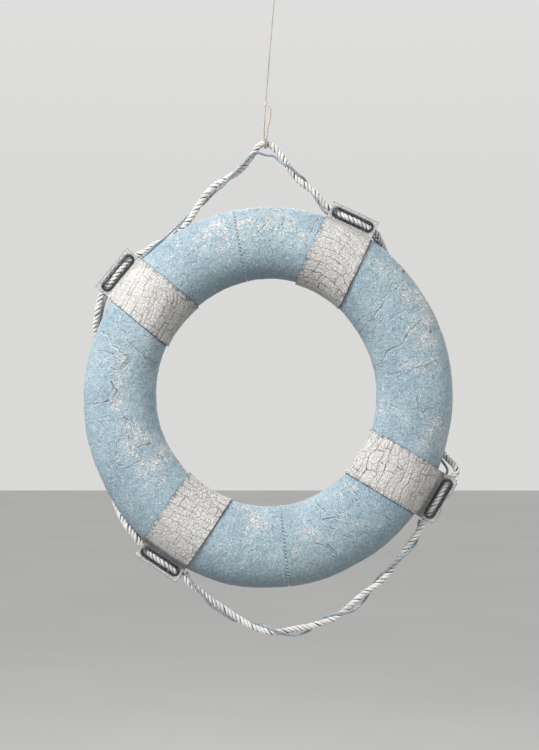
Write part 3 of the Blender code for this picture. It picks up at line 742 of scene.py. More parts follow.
def ring_point(reach, turn, depth):
    """Points that far from the middle of the ring at an angle in degrees, and that deep."""
    turn = np.radians(turn)
    return np.stack([reach * np.cos(turn), depth + 0 * reach * turn, reach * np.sin(turn)], axis=-1)


def compass(turn):
    """Unit vectors out from the ring's middle at an angle, and round the ring from there."""
    out, up = math.radians(turn), math.radians(turn + 90)
    return np.array((math.cos(out), 0.0, math.sin(out))), np.array((math.cos(up), 0.0, math.sin(up)))


def tube_surface(turn, roll, inset=0.0):
    """Points of the tube at grids of turn and roll, both in degrees."""
    reach = tube_radius(turn) + (tube_half_width(turn) - inset) * np.cos(np.radians(roll))
    return ring_point(reach, turn, (TUBE_DEPTH - inset) * np.sin(np.radians(roll)))


# Cracks in the blue paint on the ring's front: (strength, points as x and z from the ring's middle)
CRACKS = (
    (0.9, tenths(
        (-3396, 1309), (-3281, 1289), (-3181, 1203), (-3096, 1074), (-2996, 960), (-2881, 874),
        (-2796, 831),
    )),
    (0.8, tenths((-3396, 931), (-3281, 909), (-3167, 874), (-3081, 846), (-2981, 869))),
    (0.7, tenths(
        (-3087, 1531), (-3024, 1460), (-2924, 1346), (-2824, 1260), (-2796, 1174), (-2724, 1046),
        (-2639, 960), (-2510, 860), (-2424, 789), (-2281, 703), (-2196, 640),
    )),
    (0.6, tenths((-2453, 774), (-2339, 660), (-2239, 617))),
    (0.7, tenths((-2881, 874), (-2767, 731), (-2853, 617), (-2981, 503), (-3076, 560), (-3139, 589))),
    (0.7, tenths((-2724, 860), (-2824, 703), (-2981, 531), (-3039, 417))),
    (0.6, tenths((-2796, 831), (-2724, 746), (-2781, 660), (-2896, 674))),
    (0.9, tenths((-3124, 360), (-3053, 246), (-3010, 103), (-3096, -11), (-3124, -154))),
    (0.7, tenths((-2853, 360), (-2896, 246), (-2953, 131), (-3010, -11), (-3039, -111))),
    (0.9, tenths((-3039, 246), (-3096, 74), (-3104, -40), (-3039, -154))),
    (1.0, tenths((-3467, -149), (-3339, -120), (-3224, -83), (-3130, -54))),
    (0.8, tenths((-2910, -240), (-2881, -354), (-2796, -440), (-2696, -497))),
    (0.8, tenths((-2796, -697), (-2924, -769), (-2996, -897), (-3030, -1040), (-3024, -1154))),
    (1.0, tenths((-2596, -983), (-2510, -954), (-2424, -926), (-2324, -897))),
    (0.8, tenths((-3210, -1140), (-3096, -1211), (-2981, -1297), (-2881, -1369))),
    (0.6, tenths((-3153, -1211), (-3024, -1326), (-2953, -1369))),
    (0.9, tenths((-2853, -1411), (-2739, -1354), (-2624, -1283), (-2524, -1240))),
    (0.5, tenths((-2767, -697), (-2753, -840), (-2767, -1011))),
    (0.8, tenths((-2224, -1140), (-2110, -1169), (-2024, -1126))),
    (0.5, tenths((-2424, -1211), (-2281, -1297), (-2167, -1254))),
    (0.5, tenths((-1996, -1654), (-1881, -1583), (-1767, -1511))),
    (0.8, tenths(
        (2361, 2160), (2396, 2217), (2481, 2246), (2553, 2217), (2524, 2160), (2439, 2097),
        (2367, 2117), (2361, 2160),
    )),
    (0.7, tenths((2324, 2031), (2210, 1946), (2081, 1889), (1953, 1789))),
    (0.9, tenths((2267, 1860), (2153, 1731), (2067, 1617), (1924, 1489), (1810, 1303))),
    (0.7, tenths((2224, 1517), (2096, 1417), (1981, 1274))),
    (0.6, tenths((1881, 2246), (1810, 2160), (1739, 2060))),
    (0.6, tenths((1781, 1603), (1724, 1474), (1681, 1417))),
    (0.6, tenths((2039, 1760), (1924, 1674), (1781, 1517))),
    (0.8, tenths((2753, 1817), (2667, 1731), (2539, 1660), (2396, 1531))),
    (1.0, tenths(
        (2181, 674), (2253, 789), (2324, 903), (2424, 966), (2524, 1017), (2610, 1060), (2667, 1160),
        (2739, 1246), (2810, 1331),
    )),
    (0.9, tenths((2839, 1389), (2753, 1303), (2667, 1189), (2624, 1046))),
    (0.7, tenths((2981, 1574), (2896, 1446), (2824, 1374))),
    (0.9, tenths((2810, 603), (2896, 574), (2967, 617), (3096, 631), (3181, 689), (3281, 731))),
    (0.6, tenths((2653, 674), (2781, 717), (2896, 760))),
    (0.8, tenths((2339, 431), (2439, 460), (2581, 517))),
    (0.8, tenths(
        (2381, -154), (2496, -177), (2624, -240), (2753, -226), (2896, -197), (2967, -226),
        (3010, -297),
    )),
    (0.8, tenths((2924, 131), (2910, -11), (2924, -169), (2996, -240))),
    (0.8, tenths((2996, -297), (3067, -226), (3153, -206), (3239, -211))),
    (0.6, tenths((3024, -340), (3124, -397), (3210, -411))),
    (0.5, tenths((2210, 1160), (2081, 1046))),
    (0.5, tenths((2067, 1189), (1967, 1089))),
    (1.0, tenths((2653, 2589), (2710, 2489))),
    (0.5, tenths((2153, 1560), (2053, 1489))),
    (0.6, tenths((-557, -2640), (-540, -2773), (-557, -2973))),
    (0.6, tenths((43, -2457), (37, -2590), (93, -2707), (93, -2807))),
    (0.6, tenths((460, -2390), (427, -2473), (393, -2607))),
    (0.7, tenths((910, -2040), (977, -2140), (1093, -2257))),
    (0.7, tenths((993, -2240), (1010, -2357), (1043, -2423))),
    (0.9, tenths((1043, -2423), (1143, -2380), (1277, -2347), (1393, -2380))),
    (0.7, tenths((1360, -2273), (1443, -2257), (1543, -2307), (1610, -2373))),
    (0.7, tenths(
        (1060, -2507), (1177, -2573), (1277, -2607), (1377, -2523), (1477, -2473), (1610, -2507),
        (1710, -2440), (1810, -2523),
    )),
    (0.7, tenths((1610, -1757), (1710, -1907), (1827, -2040), (1943, -2140), (2093, -2167))),
    (0.7, tenths((2010, -2307), (2143, -2273), (2277, -2340), (2377, -2423))),
    (0.6, tenths((1277, -2673), (1410, -2707), (1543, -2740), (1627, -2807))),
    (0.8, tenths((910, -2840), (1043, -2890), (1177, -2973), (1327, -3107))),
    (0.7, tenths((1110, -2873), (1243, -2990), (1343, -3073))),
    (0.6, tenths((843, -2973), (943, -3073), (1077, -3140))),
    (0.6, tenths((893, -2640), (910, -2773), (843, -2873))),
    (0.5, tenths((1710, -2740), (1877, -2673), (2043, -2740), (2210, -2807))),
    (0.5, tenths((-723, -3507), (-623, -3457), (-490, -3440))),
    (0.5, tenths((-640, -3557), (-573, -3507))),
    (0.8, tenths((-240, 3210), (-190, 3285), (-128, 3347), (-53, 3390))),
    (0.7, tenths((235, 3360), (260, 3485), (348, 3523), (423, 3460), (447, 3360))),
    (0.7, tenths((635, 3135), (710, 3165), (785, 3148))),
    (0.7, tenths((-440, 3710), (-265, 3698), (-190, 3748))),
    (0.8, tenths((973, 3585), (885, 3422), (785, 3210))),
    (0.6, tenths((-365, 3085), (-265, 3060), (-140, 3110))),
    (0.5, tenths((-15, 3010), (60, 2910), (73, 2810))),
    (0.5, tenths((285, 3035), (280, 2885))),
    (0.5, tenths((-1415, 2523), (-1315, 2535), (-1227, 2560))),
    (0.5, tenths((-1590, 2560), (-1515, 2660), (-1415, 2710))),
)


def crack_lines(points):
    """How much each point is in one of the cracks, from 0 to 1, and how much it is on the lifted paint
    beside one, which the blue paint shows paler as a painted highlight, most below the line.
    """
    dark = np.zeros(points.shape[:-1])
    lip_highlight = np.zeros(points.shape[:-1])
    front = points[..., 1] < 0.0
    wiggle = np.stack([noise(points, 0.011, 71), noise(points, 0.011, 72)], axis=-1) * 0.0022
    wiggle += np.stack([noise(points, 0.0045, 73), noise(points, 0.0045, 74)], axis=-1) * 0.0013
    flat = points[..., [0, 2]] + wiggle
    for strength, route in CRACKS:
        low, high = route.min(axis=0) - 0.008, route.max(axis=0) + 0.008
        near = front & (flat > low).all(axis=-1) & (flat < high).all(axis=-1)
        if not near.any():
            continue
        spot = flat[near]
        best = np.full(len(spot), 1.0)
        side = np.zeros(len(spot))
        for a, b in zip(route, route[1:]):
            step = b - a
            part = np.clip((spot - a) @ step / (step @ step), 0.0, 1.0)
            gap = spot - a - part[:, None] * step
            away = np.linalg.norm(gap, axis=1)
            side = np.where(away < best, gap[:, 1], side)
            best = np.minimum(best, away)
        width = 0.0009 + 0.0007 * strength
        fade = 0.62 + 0.38 * ramp(noise(points[near], 0.010, 83), -0.35, 0.25)
        dark[near] = np.maximum(dark[near], strength * fade * (1 - ramp(best, width * 0.25, width)))
        edge = ramp(best, width * 0.4, width) * (1 - ramp(best, width * 1.2, width * 2.6))
        # The lifted paint below a line gets the strongest painted highlight
        edge = edge * np.where(side < 0, 1.0, 0.35)
        lip_highlight[near] = np.maximum(lip_highlight[near], strength * edge * (1.2 - 0.5 * fade))
    return dark, lip_highlight


# Where the blue paint on the front is weathered: x, z and reach in millimetres, then strength
WORN = np.array((
    (-288, 70, 17, 0.8), (-294, 47, 16, 0.8), (-295, 25, 13, 0.8), (-300, -4, 14, 0.9),
    (-304, -18, 10, 0.9), (-288, -41, 14, 0.5), (-297, -61, 14, 0.5), (-265, -58, 17, 0.9),
    (-257, -75, 16, 1.0), (-272, -90, 17, 0.7), (-274, -104, 17, 0.7), (-254, -115, 13, 0.8),
    (-211, -107, 14, 1.0), (-225, -133, 14, 1.0), (-202, -121, 11, 0.8), (-245, -144, 20, 0.8),
    (-217, -161, 17, 0.7), (-245, -173, 17, 0.6), (-285, 116, 11, 0.5), (-340, 73, 6, 0.4),
    (198, 270, 14, 0.5), (224, 259, 17, 0.6), (232, 247, 17, 0.6), (255, 245, 14, 0.6),
    (252, 222, 14, 0.6), (272, 207, 20, 0.9), (295, 205, 17, 0.9), (307, 193, 17, 1.0),
    (312, 176, 14, 1.0), (290, 156, 14, 0.9), (310, 156, 17, 1.0), (278, 130, 14, 1.0),
    (301, 116, 17, 0.9), (321, 110, 9, 0.8), (292, 105, 14, 0.7), (270, 67, 9, 0.7), (292, 62, 11, 0.8),
    (327, 73, 9, 0.8), (221, -27, 10, 0.6), (281, -45, 9, 0.5), (327, -50, 11, 0.9),
    (315, -67, 13, 0.9), (338, -67, 14, 0.7), (304, -90, 14, 0.7), (341, -95, 17, 0.6),
    (224, -10, 7, 0.5), (-26, -246, 20, 0.9), (-39, -274, 20, 0.5), (78, -267, 17, 0.8),
    (91, -281, 10, 0.6), (53, -297, 15, 0.6), (68, -311, 10, 0.4), (161, -177, 10, 0.8),
    (141, -197, 8, 0.7), (124, -274, 10, 0.6), (174, -251, 10, 0.5), (-96, -297, 10, 0.5),
    (-62, -224, 10, 0.5), (74, -331, 17, 0.3), (-129, 291, 11, 0.7), (-149, 286, 9, 0.7),
    (-141, 314, 13, 0.5), (-124, 324, 14, 0.9), (-104, 339, 14, 1.0), (-89, 324, 14, 0.9),
    (-99, 296, 14, 0.8), (-84, 301, 9, 0.7), (-79, 316, 13, 0.9), (-57, 341, 14, 1.0),
    (-51, 324, 11, 0.9), (-39, 348, 11, 0.8), (-29, 324, 11, 0.8), (-19, 334, 11, 0.7),
    (-6, 341, 9, 0.8), (21, 361, 11, 0.8), (36, 351, 11, 0.8), (26, 329, 13, 1.0), (41, 339, 9, 0.8),
    (66, 316, 11, 0.8), (46, 324, 9, 0.7), (6, 351, 13, 0.5), (-199, 276, 9, 0.5), (-179, 303, 13, 0.5),
    (-134, 261, 7, 0.4), (-34, 371, 13, 0.5), (-74, 366, 10, 0.4),
)) / (1000, 1000, 1000, 1)


def wrapped(angle):
    """The same angle in degrees, between -180 and 180."""
    return (angle + 180.0) % 360.0 - 180.0


def weathering(points):
    """How weathered the paint is, from 0 to 1."""
    total = np.zeros(points.shape[:-1])
    for x, z, reach, strength in WORN:
        gap = (points[..., 0] - x) ** 2 + (points[..., 2] - z) ** 2
        total = np.maximum(total, strength * np.exp(-gap / (reach * 1.25) ** 2))
    total = total * ramp(points[..., 1], 0.012, -0.004)
    total = total + 0.32 * layered(points, 0.035, 3, 47)
    elsewhere = ramp(layered(points, 0.07, 3, 53), 0.05, 0.45) * ramp(points[..., 1], -0.012, 0.012)
    return np.clip(np.maximum(total, 0.75 * elsewhere), 0.0, 1.0)


# How dark the painted shadow is along each band's edges: (further round the ring, before)
EDGE_SHADOW = {
    "top_right": (0.35, 1.0),
    "top_left": (1.0, 0.75),
    "bottom_left": (0.85, 0.5),
    "bottom_right": (0.55, 1.0),
}
SEAMS = (17.0, 65.0, 101.0, 140.5, 188.3, 236.2, 276.0, 329.2)
OPEN_SEAMS = (101.0, 276.0)


def panel_spans():
    """(number, first turn, last turn) of each panel of canvas, and of the cork under it."""
    ends = (*SEAMS[1:], SEAMS[0] + 360)
    return [(k + 1, first, last) for k, (first, last) in enumerate(zip(SEAMS, ends))]


def cover_rolls():
    """Roll angles of the cover's columns, closer together on the front than on the back."""
    fine = np.linspace(*ROLLS, 3601)
    x, y = TUBE_RADIAL * np.cos(np.radians(fine)), TUBE_DEPTH * np.sin(np.radians(fine))
    step = np.where(fine[1:] < 15, COVER_STEP, COVER_STEP * BACK_COARSER)
    marks = np.concatenate([[0], np.cumsum(np.hypot(np.diff(x), np.diff(y)) / step)])
    count = round(marks[-1])
    return np.interp(np.arange(count) / count * marks[-1], marks, fine)


def cover_relief(points):
    """How far the canvas stands out of its oval."""
    dents = 0.0016 * noise(points, 0.085, 3) + 0.0006 * layered(points, 0.034, 2, 11)
    return dents + 0.00050 * layered(points, 0.013, 3, 23)


def cover_normals(turn, roll):
    """Unit vectors out of the tube's surface."""
    across = tube_surface(turn, roll + 0.5) - tube_surface(turn, roll - 0.5)
    along = tube_surface(turn + 0.1, roll) - tube_surface(turn - 0.1, roll)
    normal = np.cross(along, across)
    normal /= np.linalg.norm(normal, axis=-1, keepdims=True)
    out = ring_point(np.cos(np.radians(roll)), turn, np.sin(np.radians(roll)))
    return normal * np.sign((normal * out).sum(axis=-1).mean())


def make_cover():
    """The painted canvas, panel by panel."""
    rolls = cover_rolls()
    for number, first, last in panel_spans():
        rows = round(math.radians(last - first) * RING_RADIUS / COVER_STEP)
        turn, roll = np.meshgrid(np.linspace(first, last, rows + 1), rolls, indexing="ij")
        base, normal = tube_surface(turn, roll), cover_normals(turn, roll)
        dark, lip_highlight = crack_lines(base)
        seam = np.full(turn.shape, 1.0)
        for at in OPEN_SEAMS:
            seam = np.minimum(seam, np.abs(wrapped(turn - at)) * math.radians(1) * RING_RADIUS)
        height = cover_relief(base) + 0.00030 * noise(base, 0.0042, 29) + 0.0007 * lip_highlight - 0.0007 * dark
        height -= 0.0010 * (1 - ramp(seam, 0.0002, 0.0020))
        height += 0.0005 * ramp(seam, 0.0015, 0.0040) * (1 - ramp(seam, 0.0050, 0.0110))
        inner_rows = np.unique(np.linspace(0, rows, rows // 8 + 2).round().astype(int))[::-1]
        inner = tube_surface(turn[inner_rows], roll[inner_rows], CANVAS_THICKNESS)
        points = np.vstack([base + normal * height[..., None], inner])
        values = {
            "worn": weathering(base),
            # The cracks, the open seams, and the painted shadow beside the bands
            "crack_and_shadow": np.maximum.reduce([dark, 0.9 * (1 - ramp(seam, 0.0003, 0.0017)), band_shadows(base)]),
            "lip_highlight": lip_highlight,
            "stain": stains(base),
            "rust": red_spots(base),
            "shaded": underside(normal),
        }
        unpainted = np.zeros(inner.shape[:2])
        values = {key: np.vstack([value, unpainted]) for key, value in values.items()}
        faces = ring_faces(len(points), len(rolls), closed_rows=True)
        piece = build_mesh(f"cover_{number}", points + RING_CENTRE, faces, BLUE, values)
        settle(piece, "lifebuoy", (f"canvas_panel_{number}",))


def make_corks():
    """The cork inside, slumped like the canvas over it."""
    rolls = np.linspace(0, 360, 72, endpoint=False)
    for number, first, last in panel_spans():
        turns = np.linspace(first + 0.06, last - 0.06, round((last - first) / 1.5) + 1)
        turn, roll = np.meshgrid(turns, rolls, indexing="ij")
        points, faces = capped_tube(tube_surface(turn, roll, CANVAS_THICKNESS + 0.0004))
        piece = build_mesh(f"cork_{number}", points + RING_CENTRE, faces, CORK)
        settle(piece, "lifebuoy", (f"cork_block_{number}",))


def make_stitches():
    """The thread of the two seams that still show."""
    for at in OPEN_SEAMS:
        fine = np.linspace(*ROLLS, 1441)
        marks = lengths_of(tube_surface(np.full(fine.shape, at), fine))
        share = np.linspace(-1, 1, 7)
        parts = []
        for i in range(int(marks[-1] / STITCH_SPACING)):
            middle = (i + 0.5) * STITCH_SPACING
            roll = np.interp(middle + np.linspace(-0.0019, 0.0019, 7), marks, fine)
            lean = np.degrees(np.linspace(-0.0011, 0.0011, 7) / RING_RADIUS)
            sink = -0.0004 + 0.0011 * share**4 - cover_relief(tube_surface(at + lean, roll))
            parts.append(strand(tube_surface(at + lean, roll, sink), THREAD_RADIUS, 7))
        points, faces, values = joined(parts)
        piece = build_mesh(f"seam_thread_{round(at)}", points + RING_CENTRE, faces, THREAD, values)
        settle(piece, "lifebuoy", ())


def band_shadows(points):
    """Painted shadow on the canvas along the edges of the bands."""
    total = np.zeros(points.shape[:-1])
    for name, (ahead, behind) in EDGE_SHADOW.items():
        turn = math.radians(BANDS[name])
        reach = points[..., 0] * math.cos(turn) + points[..., 2] * math.sin(turn)
        across = points[..., 2] * math.cos(turn) - points[..., 0] * math.sin(turn)
        gap = np.abs(across) - BAND_WIDTH / 2
        wide = 0.0027 + 0.0012 * layered(points, 0.015, 2, 57)
        line = (1 - ramp(gap, wide * 0.35, wide)) * (reach > 0) * (gap > -0.006)
        total = np.maximum(total, line * np.where(across > 0, ahead, behind))
    return total


def oval_gap(points, x, z, wide, tall):
    """How far points are from the middle of an upright oval, squared, and 1 on its outline."""
    return ((points[..., 0] - x) / wide) ** 2 + ((points[..., 2] - z) / tall) ** 2


def stains(points):
    """Brown marks on the paint."""
    total = np.zeros(points.shape[:-1])
    front = points[..., 1] < 0
    for x, z, wide, tall, strength in (
        (-0.002, 0.353, 0.007, 0.022, 1.0),
        (0.004, 0.366, 0.014, 0.006, 0.7),
    ):
        gap = oval_gap(points, x, z, wide, tall)
        total = np.maximum(total, strength * np.exp(-gap) * front)
    return total * (0.6 + 0.6 * layered(points, 0.008, 3, 41))


def red_spots(points):
    """Two spots of red lead."""
    total = np.zeros(points.shape[:-1])
    for x, z, wide, tall in ((0.3180, 0.1305, 0.0022, 0.0038), (0.2655, 0.2505, 0.0020, 0.0052)):
        gap = oval_gap(points, x, z, wide, tall)
        total = np.maximum(total, (1 - ramp(gap, 0.4, 1.6)) * (points[..., 1] < 0))
    return total


def settle(piece, body, nodes):
    """Turns the piece's faces out, puts it on the body it rides on, and hides the CAD nodes it stands for.
    """
    mesh = piece.data
    mesh.calc_loop_triangles()
    points = np.empty(len(mesh.vertices) * 3, np.float32)
    mesh.vertices.foreach_get("co", points)
    triangles = np.empty(len(mesh.loop_triangles) * 3, np.int32)
    mesh.loop_triangles.foreach_get("vertices", triangles)
    corners = points.reshape(-1, 3)[triangles.reshape(-1, 3)].astype(float)
    corners -= corners.mean(axis=(0, 1))
    volume = np.einsum("ij,ij->i", corners[:, 0], np.cross(corners[:, 1], corners[:, 2])).sum()
    if volume < 0:
        mesh.flip_normals()
    if body:
        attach(piece, body)
    if nodes:
        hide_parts(*nodes)


# Bands


def tab_edge(name, across):
    """How far the tab reaches from the middle of the ring, across the band."""
    if name != "bottom_right":
        return np.full_like(across, TAB_EDGE)
    waist = np.where(np.abs(across) < 0.025, 0.0050 * np.cos(np.pi * across / 0.050) ** 2, 0.0)
    corner = 0.0040 * ramp(np.abs(across), 0.044, 0.049)
    return TAB_EDGE - waist - corner


def band_rows(turn):
    """The rows of a band from its front tab's edge, round the tube, to its back tab's edge.

    Each is ("leaf", share), ("bend", share) or ("tube", roll), on the front (-1) or back (1).
    """
    leaf = [("leaf", share) for share in np.linspace(1, 0, round(LEAF_LENGTH / BAND_STEP), endpoint=False)]
    bend = [("bend", share) for share in np.linspace(0, 1, round(BEND_LENGTH / BAND_STEP), endpoint=False)]
    wide = tube_half_width(np.array(turn))
    fine = np.linspace(LEAVES_TUBE_AT, 180, 800)
    x, y = wide * np.cos(np.radians(fine)), TUBE_DEPTH * np.sin(np.radians(fine))
    marks = np.concatenate([[0], np.cumsum(np.hypot(np.diff(x), np.diff(y)))])
    count = round(marks[-1] / BAND_STEP)
    rolls = np.interp(np.linspace(0, marks[-1], count + 1), marks, fine)
    front = [*((kind, share, -1) for kind, share in leaf + bend), *(("tube", r, -1) for r in rolls)]
    back = [(kind, value, 1) for kind, value, _ in front[:-1]][::-1]
    return front + back


def band_row(kind, value, side, name, across, offset):
    """(reach along the band's middle line, depth) of one row of a band."""
    own = BANDS[name] + np.degrees(np.arctan2(across, tube_radius(np.array(BANDS[name]))))

    def on_tube(roll):
        angle = np.radians(roll)
        reach = tube_radius(own) + (tube_half_width(own) + offset) * np.cos(angle)
        return np.sqrt(reach**2 - across**2), (TUBE_DEPTH + offset) * np.sin(angle) + 0 * reach

    flat = np.zeros_like(across)
    leaf = flat + LEAF_INSIDE + offset - BAND_GAP
    if kind == "leaf":
        edge = tab_edge(name, across) - (TAB_EDGE_INSET if offset > BAND_GAP else 0.0)
        reach, depth = TAB_FLAT_FROM + (edge - TAB_FLAT_FROM) * value, leaf
    elif kind == "tube":
        reach, depth = on_tube(value)
    else:
        start, beyond = on_tube(LEAVES_TUBE_AT), on_tube(LEAVES_TUBE_AT + 2.0)
        size = np.hypot(start[0] - beyond[0], start[1] - beyond[1])
        handle = [a + (a - b) / size * 0.012 for a, b in zip(start, beyond)]
        points = ((flat + TAB_FLAT_FROM, leaf), (flat + TAB_FLAT_FROM - 0.006, leaf), handle, start)
        t = value
        weights = ((1 - t) ** 3, 3 * t * (1 - t) ** 2, 3 * t * t * (1 - t), t**3)
        reach, depth = (sum(w * p[k] for w, p in zip(weights, points)) for k in (0, 1))
    return reach, depth * side


def outline_gap(reach, across, growth):
    """How far a point of a tab is outside the oblong hole's edge, grown by so much."""
    away = np.hypot(reach - EYELET_AT, np.maximum(np.abs(across) - HOLE_STRAIGHT, 0.0))
    return away - HOLE_WIDTH / 2 - growth


def crazing(name, across, arc):
    """The crack pattern of a band's paint: darkness and depth of cracks, and a tone for each flake.

    across runs from edge to edge, and arc round the tube from 0 at the hole.
    """
    own = CRAZING[name]
    seed, warp, slant = own["seed"], own["warp"], math.radians(own["slant"])
    spot = np.stack([across, arc, np.full_like(across, seed * 0.37)], axis=-1)
    u = across * math.cos(slant) + arc * math.sin(slant)
    u = u + warp * layered(spot, 0.05, 2, seed) + 0.0030 * layered(spot, 0.013, 3, seed + 51)
    v = arc * math.cos(slant) - across * math.sin(slant)
    v = v + warp * layered(spot, 0.05, 2, seed + 31) + 0.0034 * layered(spot, 0.013, 3, seed + 61)
    v = v + own["bow"] * (2 * across / BAND_WIDTH) ** 2
    inner = ramp(arc, -0.115, -0.045) * ramp(arc, 0.05, -0.01)
    dark, deep, tone = np.zeros_like(across), np.zeros_like(across), np.zeros_like(across)
    for pattern, faintest, (long, short, width, strength, seed) in (
        (bricks, 0.5, own["rows"]),
        (cells, 0.0, own["flakes"]),
    ):
        away, name_of_cell = pattern(u, v, long, short, seed)
        varied = width * (0.65 + 0.7 * np.clip(layered(spot, 0.012, 2, seed + 3) + 0.45, 0, 0.9))
        present = ramp(layered(spot, 0.022, 2, seed + 7), -0.42, -0.05)
        line = (1 - ramp(away, varied * 0.35, varied)) * (faintest + (1 - faintest) * present)
        line = line * (0.78 + 0.45 * inner)
        dark = np.maximum(dark, np.minimum(strength * line, 1.0))
        deep = np.maximum(deep, strength * (1 - ramp(away, 0.0, varied * 1.6)))
        tone = tone + (name_of_cell - 0.5) * strength
    return dark, deep, np.clip(0.5 + tone, 0, 1)


def stretched_cloth(name, across, arc):
    """Where each point is on its band, squeezed so that even cells come out long."""
    own = CRAZING[name]
    wide, tall = own["fine"]
    return np.stack([across / wide, arc / tall, np.full_like(across, own["seed"] * 0.01)], axis=-1)


# How each band's paint has crazed. bow bends the lines across the band, fine squeezes the finest
# crackle, and rows and flakes are each (long, short, width of crack, strength, seed).
CRAZING = {
    "top_left": dict(
        seed=3, bow=0.012, fine=(1.1, 0.9), warp=0.012, slant=12.0,
        rows=(0.034, 0.0150, 0.0008, 0.85, 5), flakes=(0.0115, 0.0075, 0.0007, 0.50, 9),
    ),
    "top_right": dict(
        seed=14, bow=-0.01, fine=(1.3, 0.9), warp=0.010, slant=-8.0,
        rows=(0.045, 0.0160, 0.0008, 0.85, 15), flakes=(0.0120, 0.0080, 0.0007, 0.50, 19),
    ),
    "bottom_left": dict(
        seed=25, bow=0.006, fine=(1.2, 1.0), warp=0.006, slant=4.0,
        rows=(0.040, 0.0170, 0.0008, 0.85, 25), flakes=(0.0110, 0.0085, 0.0007, 0.50, 29),
    ),
    "bottom_right": dict(
        seed=36, bow=0.008, fine=(1.5, 0.9), warp=0.010, slant=6.0,
        rows=(0.048, 0.0170, 0.0009, 0.88, 35), flakes=(0.0110, 0.0085, 0.0007, 0.52, 39),
    ),
}


def band_paint(name, reach, depth, wide, arc, gap, spot, normal):
    """How far a band's cloth stands out of its smooth shape, how cracked and pale it is, and how much it is
    darkened, partly with painted shade.
    """
    dark, deep, tone = crazing(name, wide, arc)
    rim = BAND_WIDTH / 2 - np.abs(wide)
    on_tab = np.abs(depth) < TAB_HALF_DEPTH
    on_leaf = ramp(reach, *TAB_BEND)

    # Short dark nicks where the cloth is folded under along its edges
    nicks = ramp(noise(np.stack([wide * 0.2, arc, 0 * arc], axis=-1), 0.0032, 77), 0.15, 0.5)
    dark = np.maximum(dark, 0.6 * (1 - ramp(rim, 0.001, 0.009)) * nicks * ~on_tab)
    dark = dark * (1 - 0.75 * on_leaf)
    deep = deep * (1 - 0.6 * on_leaf)
    curl = (1 - ramp(rim, 0.0, 0.006)) * (0.0006 + 0.0007 * layered(spot, 0.03, 2, 93))
    height = -0.00110 * deep + 0.0005 * layered(spot, 0.018, 3, 91) + 0.0003 * (tone - 0.5)
    height = (height + curl * (1 - on_leaf)) * ramp(gap, 0.0030, 0.0060)

    # Darker along the tab's edges, round its hole and a little over the whole tab; painted shade in the
    # bend before the tab, deeper on the lower bands, and on the undersides
    end = np.where(on_tab, tab_edge(name, wide) - reach, 1.0)
    grime_and_shade = 0.75 * (1 - ramp(end, 0.0005, 0.0026)) + 0.5 * (1 - ramp(rim, 0.0002, 0.0016)) * on_leaf
    grime_and_shade = grime_and_shade + 0.45 * (1 - ramp(gap, 0.0030, 0.0085))
    bend_shade = np.exp(-(((reach - 0.3765) / 0.0070) ** 2)) * (np.abs(depth) < 0.03)
    bend_shade = bend_shade * (0.75 + 0.6 * layered(spot, 0.010, 2, 97))
    grime_and_shade = grime_and_shade + bend_shade * (0.25 if name.startswith("top") else 1.30) + 0.12 * on_leaf
    grime_and_shade = grime_and_shade + 0.55 * underside(normal) * (1 - on_leaf)
    return height, dark, tone, np.clip(grime_and_shade, 0, 0.92)


def cut_hole(surfaces, gap, reach, wide, out, up):
    """Leaves the faces inside the oblong hole out, and draws the edge that stays onto its outline.

    Returns the faces of the outer surface and the edges round all of its openings.
    """
    centre_gap = (gap[:-1, :-1] + gap[1:, :-1] + gap[:-1, 1:] + gap[1:, 1:]) / 4
    index = np.arange(reach.size).reshape(reach.shape)
    quads = np.stack([index[:-1, :-1], index[1:, :-1], index[1:, 1:], index[:-1, 1:]], axis=-1)
    quads = quads[centre_gap > 0]
    edges = np.concatenate([quads[:, [k, (k + 1) % 4]] for k in range(4)])
    _, first, count = np.unique(np.sort(edges, axis=1), axis=0, return_index=True, return_counts=True)
    rim_edges = edges[first[count == 1]]
    at = np.unique(rim_edges)
    at = at[gap.ravel()[at] < 0.003]
    flat_reach, flat_wide = reach.ravel()[at] - EYELET_AT, wide.ravel()[at]
    over = np.sign(flat_wide) * np.maximum(np.abs(flat_wide) - HOLE_STRAIGHT, 0.0)
    length = np.maximum(np.hypot(flat_reach, over), 1e-9)
    move = -(gap.ravel()[at] / length)[:, None] * (flat_reach[:, None] * out + over[:, None] * up)
    for surface in surfaces:
        surface.reshape(-1, 3)[at] += move
    return quads, rim_edges


